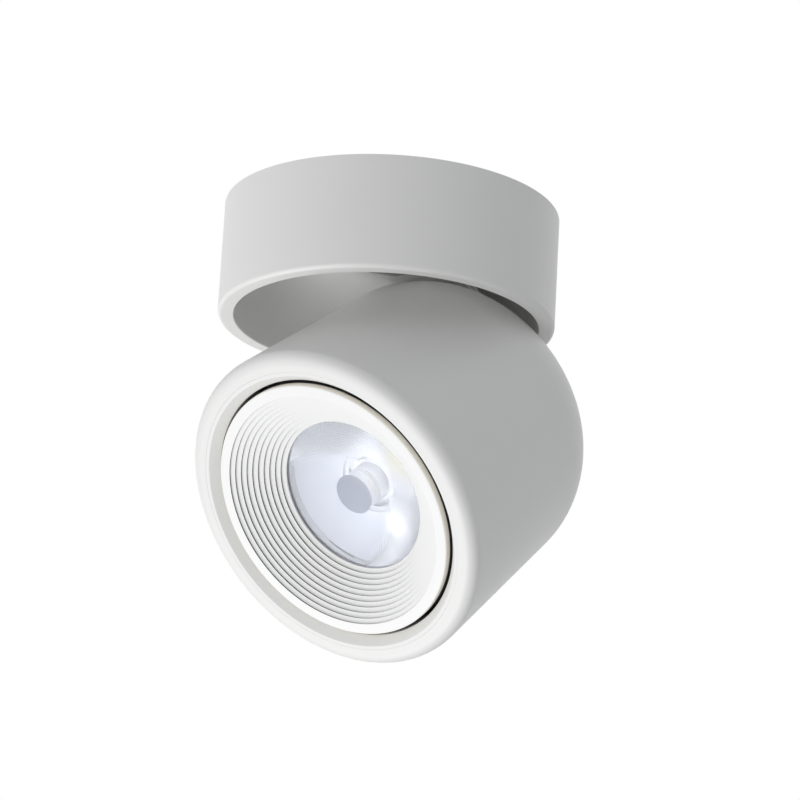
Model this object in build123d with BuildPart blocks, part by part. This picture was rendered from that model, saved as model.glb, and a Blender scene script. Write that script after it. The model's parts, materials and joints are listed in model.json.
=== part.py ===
from build123d import *
from math import acos, asin, cos, degrees, hypot, radians, sin, sqrt
import os

# Surface mounted ceiling spotlight: a shallow cup on the ceiling holds a drum-shaped head
# that turns about the vertical and tilts out of the cup. Millimetres, +Z up, origin at the
# middle of the ceiling face. The head aims along -Y at rest, tilted down from level.

os.makedirs("parts", exist_ok=True)

# ---------------------------------------------------------------- driving dimensions
# Base cup
cup_diameter = 100.0  # the head is as wide
cup_height = 34.5
cup_wall = 4.8
cup_corner = 16.0  # large inner radius between the wall and the web
rim_outer_edge = 1.2
rim_inner_edge = 0.4
recess_depth = 9.5  # wiring space between the ceiling and the web
recess_wall = 5.4
web_thickness = 2.5

# Tilt of the head
rest_tilt = 50.0  # degrees from straight down
tilt_limit = 55.0
stem_inset = 12.7  # from the bore of the cup, far enough back that the slot hides in it
rim_gap = 1.0  # between the dome and the inner edge of the rim
head_gap = 1.0  # between the dome and the swivel bolt above it

# Head shell
head_length = 88.7  # from the front face to the top of the dome
head_taper = 4.4  # the barrel's radius shrinks by this much from the front to the dome
head_edge = 3.5
shoulder_edge = 27.0  # large round between the barrel and the dome
dome_wall = 2.5
front_wall = 5.6  # round the bezel
seat_step = 1.0  # the bezel rests on this step
slot_width = 8.2
slot_overrun = 2.5  # degrees past the stem at each end of its travel
lug_count = 3
lug_turn = 30.0
lug_width = 8.0
lug_height = 8.0
lug_reach = 12.0

# Bezel inside the front edge
bezel_depth = 12.2
bezel_setback = 0.3
bezel_slope = 2.5
bezel_width = 3.45

# Stepped anti-glare baffle
trim_gap = 1.05  # dark ring between the bezel and the baffle
trim_setback = 1.0
trim_face_width = 3.4
trim_edge = 0.5
step_count = 10
step_width = 1.28
step_riser = 0.5
step_fall = 0.57
riser_undercut = 0.12
trim_wall = 1.8
trim_skirt = 1.5
trim_lip = 0.4
hook_width = 8.0
hook_length = 1.5
hook_barb = 1.0
hook_gap = 0.3

# Lens and its holder
gasket_thickness = 0.4
gasket_width = 1.5
lens_overlap = 1.8  # the flange reaches this far behind the baffle's lip
lens_flange = 1.8
lens_height = 17.4
lens_body_step = 1.5
lens_body_bulge = 0.9
lens_tail_radius = 7.5
lens_cavity_radius = 6.0
lens_cavity_depth = 8.0
lens_cavity_crown = 1.2
lens_centre_radius = 6.2
lens_centre_depth = 0.15
holder_wall = 1.8
holder_ledge = 1.2
holder_ring = 2.8
window_count = 4
window_width = 9.0

# Light engine
thermal_pad_thickness = 0.3
cob_size = 13.5
cob_thickness = 1.3
phosphor_radius = 4.8
phosphor_height = 0.4
cob_retainer_radius = 16.0
cob_retainer_height = 2.8
cob_screw_spread = 12.4
retainer_floor = 0.8  # under the screw heads
m3_head_gap = 0.35
tail_gap = 0.8
lens_air = 0.5  # between the lens tail and the phosphor

# Heat sink
sink_thickness = 4.8
sink_gap = 0.2
sink_hub = 10.0
fin_count = 24
fin_thickness = 1.4
fin_gap = 4.0  # from the ends of the fins to the centres of the standoffs
fin_height = 8.5

# Driver behind the heat sink
standoff_height = 11.5
standoff_inset = 3.8  # from the edge of the driver board
board_gap = 0.2
standoff_flats = 5.5
tray_thickness = 1.5
tray_rim_height = 2.0
tray_rim_wall = 1.5
post_radius = 2.5
post_height = 3.0
board_thickness = 1.6
cover_wall = 1.2
cover_side_gap = 7.4  # between the cover and the wall of the head
cover_gap = 1.1  # between the cover and what sweeps over it
grommet_lean = 32.0
grommet_neck = 4.0
grommet_bore = 2.6

# Swivel under the web
bolt_radius = 5.0
bolt_bore = 3.3
bolt_head_flats = 15.0
bolt_head_height = 1.3
friction_washer = 0.6
slide_washer = 0.6
washer_radius = 14.0
bracket_thickness = 2.5
bracket_radius = 15.0
tongue_width = 22.0
stop_washer_thickness = 1.0
stop_washer_radius = 12.0
stop_tab_reach = 20.5
stop_tab_width = 3.0
stop_pin_radius = 1.25
stop_pin_spread = 19.0
stop_pin_height = 2.5
spring_height = 1.0
spring_thickness = 0.6
spring_radius = 9.0
nut_height = 4.0
nut_flats = 14.0
thread_end = 0.6

# Tilt clamp through the slot
pad_radius = 8.8
pad_thickness = 2.0
shoe_radius = 9.2
shoe_thickness = 3.9
clamp_spring_height = 1.3
clamp_nut_height = 4.5
stem_flats = 8.0
stem_head_radius = 8.0
stem_head_height = 2.5
stem_end = 1.2

# Ceiling plate and wiring in the recess
plate_thickness = 1.5
plate_gap = 0.2  # inside the lugs of the cup
ear_gap = 0.4
ear_drop = 4.0
ear_wall = 1.5
ear_width = 14.0
ear_count = 3
lug_ring_height = 2.0
lug_ring_reach = 3.0
fixing_spread = 58.0
fixing_slot_length = 12.0
fixing_slot_radius = 2.3
entry_inset = 17.4  # from the edge of the plate
entry_radius = 8.0
entry_bore = 4.5
entry_flange = 2.0
entry_height = 3.2
block_gap = 1.2  # past the sweep of the stop washer
block_length = 30.0
block_width = 13.0
block_height = 7.4
pole_count = 3
pole_pitch = 9.5
pole_radius = 2.0
pole_bore = 1.5
pole_height = 3.0
clamp_screw_spread = 6.0
clamp_screw_radius = 1.4
clamp_screw_sink = 0.6  # below the top of the block
clamp_screw_gap = 0.4
earth_offset = 27.0

# Screws: radius of the head, its height, radius and length of the shank
m3_head = (2.75, 1.9)
m3_shank = 1.5
m3_hole = 1.7
cob_screw_length = 4.5
sink_screw_length = 11.0
tray_screw_length = 6.0
board_screw_head = (2.2, 1.4)
board_screw_shank = 1.25
board_screw_length = 4.0
board_screw_hole = 1.4
earth_screw_head = (3.3, 2.4)
earth_screw_shank = 1.6
earth_screw_length = 1.8
screw_head_draft = 12.0  # degrees

# Parts on the driver board
transformer_length = 16.0
transformer_width = 14.0
transformer_base = 2.0
transformer_height = 12.0
winding_length = 11.0
winding_width = 16.0
winding_height = 7.0
input_capacitor = (5.0, 9.5)  # radius, height
output_capacitor = (4.0, 8.5)
capacitor_edge = 0.6
film_capacitor = (13.0, 5.0, 9.0)
connector = (10.0, 8.0, 7.0)
connector_mouth = (3.0, 4.0, 4.0)
connector_pitch = 5.0

# Clearances
running = 0.05  # radial, shaft in hole
seated = 0.03  # radial, fixed piece in hole
curved_gap = 0.3  # between spherical faces that slide past each other

# ---------------------------------------------------------------- worked-out sizes
cup_radius = cup_diameter / 2
cup_bore = cup_radius - cup_wall
web_top = -recess_depth
web_bottom = web_top - web_thickness
recess_radius = cup_radius - recess_wall
plate_radius = recess_radius - lug_ring_reach - plate_gap
ear_reach = recess_radius - ear_gap
entry_offset = plate_radius - entry_inset

bracket_top = web_bottom - friction_washer
bracket_bottom = bracket_top - bracket_thickness
stop_washer_bottom = web_top + slide_washer
spring_bottom = stop_washer_bottom + stop_washer_thickness
nut_bottom = spring_bottom + spring_height
nut_top = nut_bottom + nut_height

# The dome is part of a ball about the tilt axis. A ball larger by the gap at the rim passes
# through the rim's inner edge, and this is how far that ball rises into the cup.
ball_rise = cup_height + bracket_bottom - bolt_head_height - head_gap + rim_gap
ball_radius = (cup_bore**2 + ball_rise**2) / (2 * ball_rise)
dome_radius = ball_radius - rim_gap
dome_inner = dome_radius - dome_wall
tilt_centre = Vector(0, 0, ball_rise - ball_radius - cup_height)

# Along the head's axis, heights are counted from the tilt axis towards the dome.
front = dome_radius - head_length
head_radius = cup_radius
shoulder_radius = head_radius - head_taper
shoulder = sqrt(dome_radius**2 - shoulder_radius**2)
# The front edge is rounded, so the corner before rounding stands a little wider.
front_radius = head_radius + head_taper * head_edge / (shoulder - front)
mouth_radius = head_radius - front_wall
chamber_radius = mouth_radius - seat_step
chamber_end = sqrt(dome_inner**2 - chamber_radius**2)
bezel_seat = front + bezel_depth

bezel_radius = mouth_radius - running
bezel_bore = bezel_radius - bezel_width

trim_radius = bezel_bore - trim_gap
trim_face = front + trim_setback
steps_radius = trim_radius - trim_face_width
window_radius = steps_radius - step_count * step_width
steps_end = trim_face + step_count * (step_riser + step_fall)
lip_back = steps_end + trim_lip
skirt_inner = trim_radius - trim_skirt

lens_front = lip_back + gasket_thickness
lens_radius = window_radius + lens_overlap
lens_tail = lens_front + lens_height
phosphor_front = lens_tail + lens_air
cob_front = phosphor_front + phosphor_height
cob_back = cob_front + cob_thickness
sink_front = cob_back + thermal_pad_thickness
sink_back = sink_front + sink_thickness
sink_radius = chamber_radius - sink_gap
retainer_front = sink_front - cob_retainer_height
lug_screw_spread = chamber_radius - lug_reach + 4.2

tray_bottom = sink_back + standoff_height
tray_top = tray_bottom + tray_thickness
board_bottom = tray_top + post_height
board_top = board_bottom + board_thickness
cover_radius = chamber_radius - cover_side_gap
tray_rim_radius = cover_radius - cover_wall - curved_gap
board_radius = tray_rim_radius - tray_rim_wall - board_gap
standoff_spread = board_radius - standoff_inset
fin_reach = standoff_spread - fin_gap

# Along the stem, distances are counted from the tilt axis outwards.
pad_outer = dome_radius + curved_gap + pad_thickness
tongue_outer = pad_outer + bracket_thickness
stem_lean = degrees(asin((cup_bore - stem_inset) / tongue_outer))  # back from the vertical
shoe_face = dome_inner - curved_gap
shoe_flat = shoe_face - shoe_thickness
clamp_nut_top = shoe_flat - clamp_spring_height
clamp_nut_bottom = clamp_nut_top - clamp_nut_height
stem_tip = clamp_nut_bottom - stem_end
cover_dome = stem_tip - cover_gap

across = Vector(1, 0, 0)  # the tilt axis


def leaning(angle):
    """The direction that leans back by an angle from straight up."""
    return Vector(0, sin(radians(angle)), cos(radians(angle)))


head_back = leaning(rest_tilt)
stem_out = leaning(stem_lean)


def level(direction, distance):
    """The plane square to a line from the tilt centre, at a distance along it."""
    return Plane(tilt_centre + direction * distance, x_dir=across, z_dir=direction)


def section(direction):
    """The plane for a profile round such a line: x is the radius, y the distance."""
    return Plane(tilt_centre, x_dir=across, z_dir=across.cross(direction))


def turning(direction):
    """The axis that such a profile is turned about."""
    return Axis(tilt_centre, direction)


def corner(sketch, x, y):
    """The corner of a sketch that lies nearest to a point in it."""
    return sketch.vertices().sort_by_distance((x, y, 0))[0]


def save(piece, name):
    """Label a finished piece and write it to its own file."""
    piece.part.label = name
    export_step(piece.part, f"parts/{name}.step")


# ---------------------------------------------------------------- base cup
with BuildPart() as base_cup:
    with BuildSketch(Plane.XZ) as cup_profile:
        with BuildLine():
            Polyline(
                (cup_radius, 0),
                (cup_radius, -cup_height),
                (cup_bore, -cup_height),
                (cup_bore, web_bottom),
                (bolt_radius + running, web_bottom),
                (bolt_radius + running, web_top),
                (recess_radius, web_top),
                (recess_radius, 0),
                close=True,
            )
        make_face()
        fillet(corner(cup_profile, cup_radius, -cup_height), rim_outer_edge)
        fillet(corner(cup_profile, cup_bore, -cup_height), rim_inner_edge)
        fillet(corner(cup_profile, cup_bore, web_bottom), cup_corner)
    revolve(axis=Axis.Z)
    # Bayonet lugs inside the recess rest on the ears of the ceiling plate.
    with BuildSketch(Plane.XY.offset(-ear_drop)):
        Circle(recess_radius + 1)
        Circle(recess_radius - lug_ring_reach, mode=Mode.SUBTRACT)
        with PolarLocations(recess_radius, ear_count, start_angle=90):
            Rectangle(4 * lug_ring_reach, ear_width, mode=Mode.INTERSECT)
    extrude(amount=lug_ring_height)
    # Seats of the stop pin and the earth screw.
    with BuildSketch(Plane.XY.offset(web_top)):
        with Locations((0, -stop_pin_spread)):
            Circle(stop_pin_radius + seated)
        with Locations((-earth_offset, 0)):
            Circle(earth_screw_shank + seated)
    extrude(amount=-web_thickness + 0.6, mode=Mode.SUBTRACT)
save(base_cup, "base_cup")

# ---------------------------------------------------------------- ceiling plate
with BuildPart() as mounting_plate:
    with BuildSketch(Plane.XY):
        Circle(plate_radius)
        with GridLocations(fixing_spread, 0, 2, 1):
            SlotOverall(fixing_slot_length, 2 * fixing_slot_radius, mode=Mode.SUBTRACT)
        with Locations((0, -entry_offset)):
            Circle(entry_radius, mode=Mode.SUBTRACT)
    extrude(amount=-plate_thickness)
    # Ears drop from the edge and reach out under the lugs of the cup.
    with BuildSketch(Plane.XY.offset(-plate_thickness)):
        Circle(plate_radius)
        Circle(plate_radius - ear_wall, mode=Mode.SUBTRACT)
        with PolarLocations(plate_radius, ear_count, start_angle=90):
            Rectangle(8 * ear_wall, ear_width, mode=Mode.INTERSECT)
    extrude(amount=-ear_drop)
    with BuildSketch(Plane.XY.offset(-ear_drop)):
        Circle(ear_reach)
        Circle(plate_radius - ear_wall, mode=Mode.SUBTRACT)
        with PolarLocations(plate_radius, ear_count, start_angle=90):
            Rectangle(8 * ear_wall, ear_width, mode=Mode.INTERSECT)
    extrude(amount=-plate_thickness)
save(mounting_plate, "mounting_plate")

with BuildPart() as cable_grommet:
    with BuildSketch(Plane.XY):
        with Locations((0, -entry_offset)):
            Circle(entry_radius - seated)
    extrude(amount=-plate_thickness)
    with BuildSketch(Plane.XY.offset(-plate_thickness)):
        with Locations((0, -entry_offset)):
            Circle(entry_radius + entry_flange)
    extrude(amount=-(entry_height - plate_thickness), taper=20)
    with BuildSketch(Plane.XY):
        with Locations((0, -entry_offset)):
            Circle(entry_bore)
    extrude(amount=-entry_height, mode=Mode.SUBTRACT)
save(cable_grommet, "cable_grommet")

# ---------------------------------------------------------------- wiring in the recess
block_offset = stop_tab_reach + block_gap + block_width / 2
block_top = web_top + block_height
pole_axis = web_top + pole_height
block_end = Plane.XZ.offset(-(block_offset + block_width / 2))

with BuildPart() as terminal_block:
    with BuildSketch(Plane.XY.offset(web_top)):
        with Locations((0, block_offset)):
            Rectangle(block_length, block_width)
    extrude(amount=block_height)
    # Gaps between the poles, so that each stands as a turret of its own.
    with BuildSketch(Plane.XY.offset(block_top)):
        with Locations((0, block_offset)):
            with GridLocations(pole_pitch, 0, pole_count - 1, 1):
                Rectangle(pole_pitch / 4, block_width)
    extrude(amount=-block_height / 2, mode=Mode.SUBTRACT)
    with BuildSketch(block_end):
        with Locations((0, pole_axis)):
            with GridLocations(pole_pitch, 0, pole_count, 1):
                Circle(pole_radius)
    extrude(amount=block_width, mode=Mode.SUBTRACT)
    with BuildSketch(Plane.XY.offset(block_top)):
        with Locations((0, block_offset)):
            with GridLocations(pole_pitch, clamp_screw_spread, pole_count, 2):
                Circle(clamp_screw_radius + clamp_screw_gap)
    extrude(amount=-(block_top - pole_axis), mode=Mode.SUBTRACT)
save(terminal_block, "terminal_block")

with BuildPart() as terminal_inserts:
    with BuildSketch(block_end.offset(1)):
        with Locations((0, pole_axis)):
            with GridLocations(pole_pitch, 0, pole_count, 1):
                Circle(pole_radius - seated)
                Circle(pole_bore, mode=Mode.SUBTRACT)
    extrude(amount=block_width - 2)
    with BuildSketch(Plane.XY.offset(block_top)):
        with Locations((0, block_offset)):
            with GridLocations(pole_pitch, clamp_screw_spread, pole_count, 2):
                Circle(clamp_screw_radius + seated)
    extrude(amount=-(block_top - pole_axis), mode=Mode.SUBTRACT)
save(terminal_inserts, "terminal_inserts")

with BuildPart() as terminal_screws:
    with BuildSketch(Plane.XY.offset(block_top - clamp_screw_sink)):
        with Locations((0, block_offset)):
            with GridLocations(pole_pitch, clamp_screw_spread, pole_count, 2):
                Circle(clamp_screw_radius)
    extrude(amount=-(block_top - clamp_screw_sink - pole_axis - clamp_screw_gap))
save(terminal_screws, "terminal_screws")


def pan_screws(seat, spread, count, turn, head, shank_radius, length):
    """Cross-recessed screws in a ring: heads stand on the seat, shanks go down from it."""
    radius, height = head
    with BuildPart() as screws:
        with BuildSketch(seat):
            with PolarLocations(spread, count, start_angle=turn):
                Circle(radius)
        extrude(amount=height, taper=screw_head_draft)
        with BuildSketch(seat):
            with PolarLocations(spread, count, start_angle=turn):
                Circle(shank_radius)
        extrude(amount=-length)
        with BuildSketch(seat.offset(height)):
            with PolarLocations(spread, count, start_angle=turn):
                Rectangle(radius, radius / 4)
                Rectangle(radius / 4, radius)
        extrude(amount=-height / 2, mode=Mode.SUBTRACT)
    return screws


earth_screw = pan_screws(
    Plane.XY.offset(web_top),
    earth_offset,
    1,
    180,
    earth_screw_head,
    earth_screw_shank,
    earth_screw_length,
)
save(earth_screw, "earth_screw")

with BuildPart() as stop_pin:
    with BuildSketch(Plane.XY.offset(web_top + stop_pin_height)):
        with Locations((0, -stop_pin_spread)):
            Circle(stop_pin_radius)
    extrude(amount=-(stop_pin_height + web_thickness - 0.7))
    chamfer(stop_pin.edges().group_by(Axis.Z)[-1], 0.3)
save(stop_pin, "stop_pin")


# ---------------------------------------------------------------- swivel on the web
def ring(plane, outer, inner, height):
    """A flat ring that stands on a plane."""
    with BuildPart() as piece:
        with BuildSketch(plane):
            Circle(outer)
            Circle(inner, mode=Mode.SUBTRACT)
        extrude(amount=height)
    return piece


def cone_spring(direction, origin, inner, outer, thickness, height):
    """A conical spring washer; it touches below at its outer edge and above at its bore."""
    plane = Plane(origin, x_dir=across, z_dir=across.cross(direction))
    with BuildPart() as piece:
        with BuildSketch(plane):
            with BuildLine():
                Polyline(
                    (outer, 0),
                    (inner, height - thickness),
                    (inner, height),
                    (outer, thickness),
                    close=True,
                )
            make_face()
        revolve(axis=Axis(origin, direction))
    return piece


def hex_nut(plane, flats, bore, height):
    """A hexagon nut that stands on a plane, with its top corners chamfered."""
    with BuildPart() as piece:
        with BuildSketch(plane):
            RegularPolygon(radius=flats / 2, side_count=6, major_radius=False)
        extrude(amount=height)
        chamfer(piece.faces().sort_by(Axis((0, 0, 0), plane.z_dir))[-1].edges(), 0.4)
        with BuildSketch(plane):
            Circle(bore)
        extrude(amount=height, mode=Mode.SUBTRACT)
    return piece


swivel_hole = bolt_radius + running
up = Vector(0, 0, 1)

friction_ring = ring(Plane.XY.offset(bracket_top), washer_radius, swivel_hole, friction_washer)
save(friction_ring, "swivel_friction_washer")

slide_ring = ring(Plane.XY.offset(web_top), stop_washer_radius, swivel_hole, slide_washer)
save(slide_ring, "swivel_slide_washer")

with BuildPart() as stop_washer:
    with BuildSketch(Plane.XY.offset(stop_washer_bottom)):
        Circle(stop_washer_radius)
        with Locations((0, stop_tab_reach / 2)):
            Rectangle(stop_tab_width, stop_tab_reach)
        Circle(swivel_hole, mode=Mode.SUBTRACT)
    extrude(amount=stop_washer_thickness)
save(stop_washer, "stop_washer")

spring_seat = Vector(0, 0, spring_bottom)
swivel_spring = cone_spring(
    up, spring_seat, swivel_hole + 0.2, spring_radius, spring_thickness, spring_height
)
save(swivel_spring, "swivel_spring_washer")

swivel_nut = hex_nut(Plane.XY.offset(nut_bottom), nut_flats, bolt_radius + seated, nut_height)
save(swivel_nut, "swivel_nut")

with BuildPart() as swivel_bolt:
    with BuildSketch(Plane.XY.offset(bracket_bottom)):
        RegularPolygon(radius=bolt_head_flats / 2, side_count=6, major_radius=False)
    extrude(amount=-bolt_head_height)
    with BuildSketch(Plane.XY.offset(bracket_bottom)):
        Circle(bolt_radius)
    extrude(amount=nut_top + thread_end - bracket_bottom)
    chamfer(swivel_bolt.edges().group_by(Axis.Z)[-1], 0.5)
    with BuildSketch(Plane.XY.offset(bracket_bottom - bolt_head_height)):
        Circle(bolt_bore)
    extrude(amount=nut_top + thread_end - bracket_bottom + bolt_head_height, mode=Mode.SUBTRACT)
save(swivel_bolt, "swivel_bolt")

# The bracket is one plate: a disc under the web, and a tongue bent down square to the stem.
lean_sin, lean_cos = sin(radians(stem_lean)), cos(radians(stem_lean))


def bend_at(distance, height):
    """Where the plane square to the stem at a distance meets a level face of the bracket."""
    return (distance - (height - tilt_centre.Z) * lean_cos) / lean_sin


def on_tongue(distance, along):
    """A point of the plane square to the stem, in the plane of the tilt: y and z."""
    return (
        distance * lean_sin + along * lean_cos,
        tilt_centre.Z + distance * lean_cos - along * lean_sin,
    )


tongue_end = tongue_width / 2
with BuildPart() as swivel_bracket:
    with BuildSketch(Plane.YZ) as bent_strip:
        with BuildLine():
            Polyline(
                (0, bracket_top),
                (bend_at(tongue_outer, bracket_top), bracket_top),
                on_tongue(tongue_outer, tongue_end),
                on_tongue(pad_outer, tongue_end),
                (bend_at(pad_outer, bracket_bottom), bracket_bottom),
                (0, bracket_bottom),
                close=True,
            )
        make_face()
        fillet(corner(bent_strip, bend_at(tongue_outer, bracket_top), bracket_top), 3)
        fillet(corner(bent_strip, bend_at(pad_outer, bracket_bottom), bracket_bottom), 0.5)
    extrude(amount=tongue_width / 2, both=True)
    corners = swivel_bracket.edges().filter_by(Axis((0, 0, 0), stem_out))
    fillet(corners, tongue_width / 2 - 1)
    with BuildSketch(Plane.XY.offset(bracket_top)):
        Circle(bracket_radius)
    extrude(amount=-bracket_thickness)
    with BuildSketch(Plane.XY.offset(bracket_top)):
        Circle(swivel_hole)
    extrude(amount=-bracket_thickness, mode=Mode.SUBTRACT)
    with BuildSketch(level(stem_out, tongue_outer)):
        Circle(swivel_hole)
    extrude(amount=-2 * bracket_thickness, mode=Mode.SUBTRACT)
save(swivel_bracket, "swivel_bracket")

# ---------------------------------------------------------------- tilt clamp through the slot
with BuildPart() as saddle_pad:
    with BuildSketch(section(stem_out)):
        pad_face = dome_radius + curved_gap
        pad_lip = sqrt(pad_face**2 - pad_radius**2)
        with BuildLine():
            Line((bolt_radius + running, pad_outer), (pad_radius, pad_outer))
            Line((pad_radius, pad_outer), (pad_radius, pad_lip))
            lip_angle = degrees(acos(pad_radius / pad_face))
            hole_angle = degrees(acos((bolt_radius + running) / pad_face))
            hollow = CenterArc((0, 0), pad_face, lip_angle, hole_angle - lip_angle)
            Line(hollow @ 1, (bolt_radius + running, pad_outer))
        make_face()
    revolve(axis=turning(stem_out))
save(saddle_pad, "saddle_pad")

with BuildPart() as tilt_stem:
    with BuildSketch(level(stem_out, tongue_outer)):
        Circle(stem_head_radius)
    extrude(amount=stem_head_height)
    chamfer(tilt_stem.faces().sort_by(Axis((0, 0, 0), stem_out))[-1].edges(), 0.6)
    with BuildSketch(level(stem_out, tongue_outer)):
        Circle(bolt_radius)
    extrude(amount=stem_tip - tongue_outer)
    # Two flats run in the slot and keep the stem from turning.
    with BuildSketch(level(stem_out, stem_tip)):
        with GridLocations(stem_flats + 4, 0, 2, 1):
            Rectangle(4, 4 * bolt_radius)
    extrude(amount=dome_radius + curved_gap - stem_tip, mode=Mode.SUBTRACT)
    with BuildSketch(level(stem_out, stem_tip)):
        Circle(bolt_bore)
    extrude(amount=tongue_outer + stem_head_height - stem_tip, mode=Mode.SUBTRACT)
save(tilt_stem, "tilt_stem")

with BuildPart() as clamp_shoe:
    with BuildSketch(section(stem_out)):
        shoe_lip = sqrt(shoe_face**2 - shoe_radius**2)
        with BuildLine():
            Line((0, shoe_flat), (shoe_radius, shoe_flat))
            Line((shoe_radius, shoe_flat), (shoe_radius, shoe_lip))
            shoe_angle = degrees(acos(shoe_radius / shoe_face))
            crown = CenterArc((0, 0), shoe_face, shoe_angle, 90 - shoe_angle)
            Line(crown @ 1, (0, shoe_flat))
        make_face()
    revolve(axis=turning(stem_out))
    with BuildSketch(level(stem_out, shoe_flat)):
        Circle(bolt_radius + running)
        Rectangle(stem_flats + 2 * running, 4 * bolt_radius, mode=Mode.INTERSECT)
    extrude(amount=shoe_thickness, mode=Mode.SUBTRACT)
save(clamp_shoe, "clamp_shoe")

clamp_seat = tilt_centre + stem_out * shoe_flat
clamp_spring = cone_spring(
    stem_out * -1,
    clamp_seat,
    swivel_hole + 0.2,
    spring_radius,
    spring_thickness,
    clamp_spring_height,
)
save(clamp_spring, "tilt_spring_washer")

clamp_nut_seat = Plane(
    tilt_centre + stem_out * clamp_nut_top, x_dir=across, z_dir=stem_out * -1
)
tilt_nut = hex_nut(clamp_nut_seat, nut_flats, bolt_radius + seated, clamp_nut_height)
save(tilt_nut, "tilt_nut")

# ---------------------------------------------------------------- head shell
slot_low = rest_tilt - (tilt_limit - stem_lean) - slot_overrun
slot_high = rest_tilt + stem_lean + slot_overrun
slot_floor = dome_inner - 3 * dome_wall
slot_ceiling = dome_radius + dome_wall
tilt_plane = Plane(tilt_centre, x_dir=(0, 1, 0), z_dir=across)

with BuildPart() as head_shell:
    with BuildSketch(section(head_back)) as shell_profile:
        start = degrees(asin(shoulder / dome_radius))
        stop = degrees(asin(chamber_end / dome_inner))
        with BuildLine():
            Polyline((mouth_radius, front), (front_radius, front), (shoulder_radius, shoulder))
            dome = CenterArc((0, 0), dome_radius, start, 90 - start)
            Line(dome @ 1, (0, dome_inner))
            CenterArc((0, 0), dome_inner, 90, stop - 90)
            Polyline(
                (chamber_radius, chamber_end),
                (chamber_radius, bezel_seat),
                (mouth_radius, bezel_seat),
                (mouth_radius, front),
            )
        make_face()
        fillet(corner(shell_profile, front_radius, front), head_edge)
        fillet(corner(shell_profile, shoulder_radius, shoulder), shoulder_edge)
        fillet(corner(shell_profile, chamber_radius, chamber_end), shoulder_edge - 2 * dome_wall)
    revolve(axis=turning(head_back))
    # The stem passes through a slot along the dome, with round ends.
    with BuildSketch(tilt_plane):
        with BuildLine():
            top = CenterArc((0, 0), slot_ceiling, 90 - slot_high, slot_high - slot_low)
            bottom = CenterArc((0, 0), slot_floor, 90 - slot_high, slot_high - slot_low)
            Line(top @ 0, bottom @ 0)
            Line(top @ 1, bottom @ 1)
        make_face()
    extrude(amount=slot_width / 2, both=True, mode=Mode.SUBTRACT)
    for slot_end in (slot_low, slot_high):
        with BuildSketch(level(leaning(slot_end), slot_floor)):
            Circle(slot_width / 2)
        extrude(amount=slot_ceiling - slot_floor, mode=Mode.SUBTRACT)
    # Lugs for the screws of the heat sink.
    with BuildSketch(level(head_back, sink_back)):
        with PolarLocations(chamber_radius + 1 - lug_reach / 2, lug_count, start_angle=lug_turn):
            Rectangle(lug_reach, lug_width)
    extrude(amount=lug_height)
    with BuildSketch(level(head_back, sink_back)):
        with PolarLocations(lug_screw_spread, lug_count, start_angle=lug_turn):
            Circle(m3_shank + seated)
    extrude(amount=lug_height, mode=Mode.SUBTRACT)
save(head_shell, "head_shell")

with BuildPart() as front_bezel:
    with BuildSketch(section(head_back)):
        with BuildLine():
            Polyline(
                (bezel_radius, front + bezel_setback),
                (bezel_bore, front + bezel_setback + bezel_slope),
                (bezel_bore, bezel_seat),
                (bezel_radius, bezel_seat),
                close=True,
            )
        make_face()
    revolve(axis=turning(head_back))
save(front_bezel, "front_bezel")

# ---------------------------------------------------------------- baffle
step_depth = step_riser + step_fall
wall_shift = trim_wall * hypot(1, step_width / step_depth)
# Where the back of the stepped wall meets the back of the lip, and the skirt.
lip_outer = window_radius + wall_shift - trim_lip * step_width / step_depth
skirt_root = trim_face + (steps_radius + wall_shift - skirt_inner) * step_depth / step_width


def step_points():
    """The front of the baffle: a short riser and a sloping tread for each step."""
    points = []
    for step in range(step_count):
        radius = steps_radius - step * step_width
        height = trim_face + step * step_depth
        points.append((radius, height))
        points.append((radius + riser_undercut, height + step_riser))
    return points


with BuildPart() as baffle_trim:
    with BuildSketch(section(head_back)) as trim_profile:
        with BuildLine():
            Polyline(
                (skirt_inner, sink_front),
                (trim_radius, sink_front),
                (trim_radius, trim_face),
                *step_points(),
                (window_radius, steps_end),
                (window_radius, lip_back),
                (lip_outer, lip_back),
                (skirt_inner, skirt_root),
                close=True,
            )
        make_face()
        fillet(corner(trim_profile, trim_radius, trim_face), trim_edge)
    revolve(axis=turning(head_back))
    # Snap hooks reach through the heat sink and catch behind it.
    with BuildSketch(level(head_back, sink_front)):
        with PolarLocations(skirt_inner + trim_skirt / 2, lug_count, start_angle=lug_turn + 60):
            Rectangle(trim_skirt - 0.4, hook_width)
    extrude(amount=sink_thickness + hook_gap + hook_length)
    with BuildSketch(level(head_back, sink_back + hook_gap)):
        with PolarLocations(skirt_inner + trim_skirt / 2, lug_count, start_angle=lug_turn + 60):
            with Locations((hook_barb / 2, 0)):
                Rectangle(trim_skirt - 0.4 + hook_barb, hook_width)
    extrude(amount=hook_length)
save(baffle_trim, "baffle_trim")

# ---------------------------------------------------------------- lens
lens_gasket = ring(
    level(head_back, lip_back), window_radius + gasket_width + 0.2, window_radius + 0.2, gasket_thickness
)
save(lens_gasket, "lens_gasket")

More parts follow.
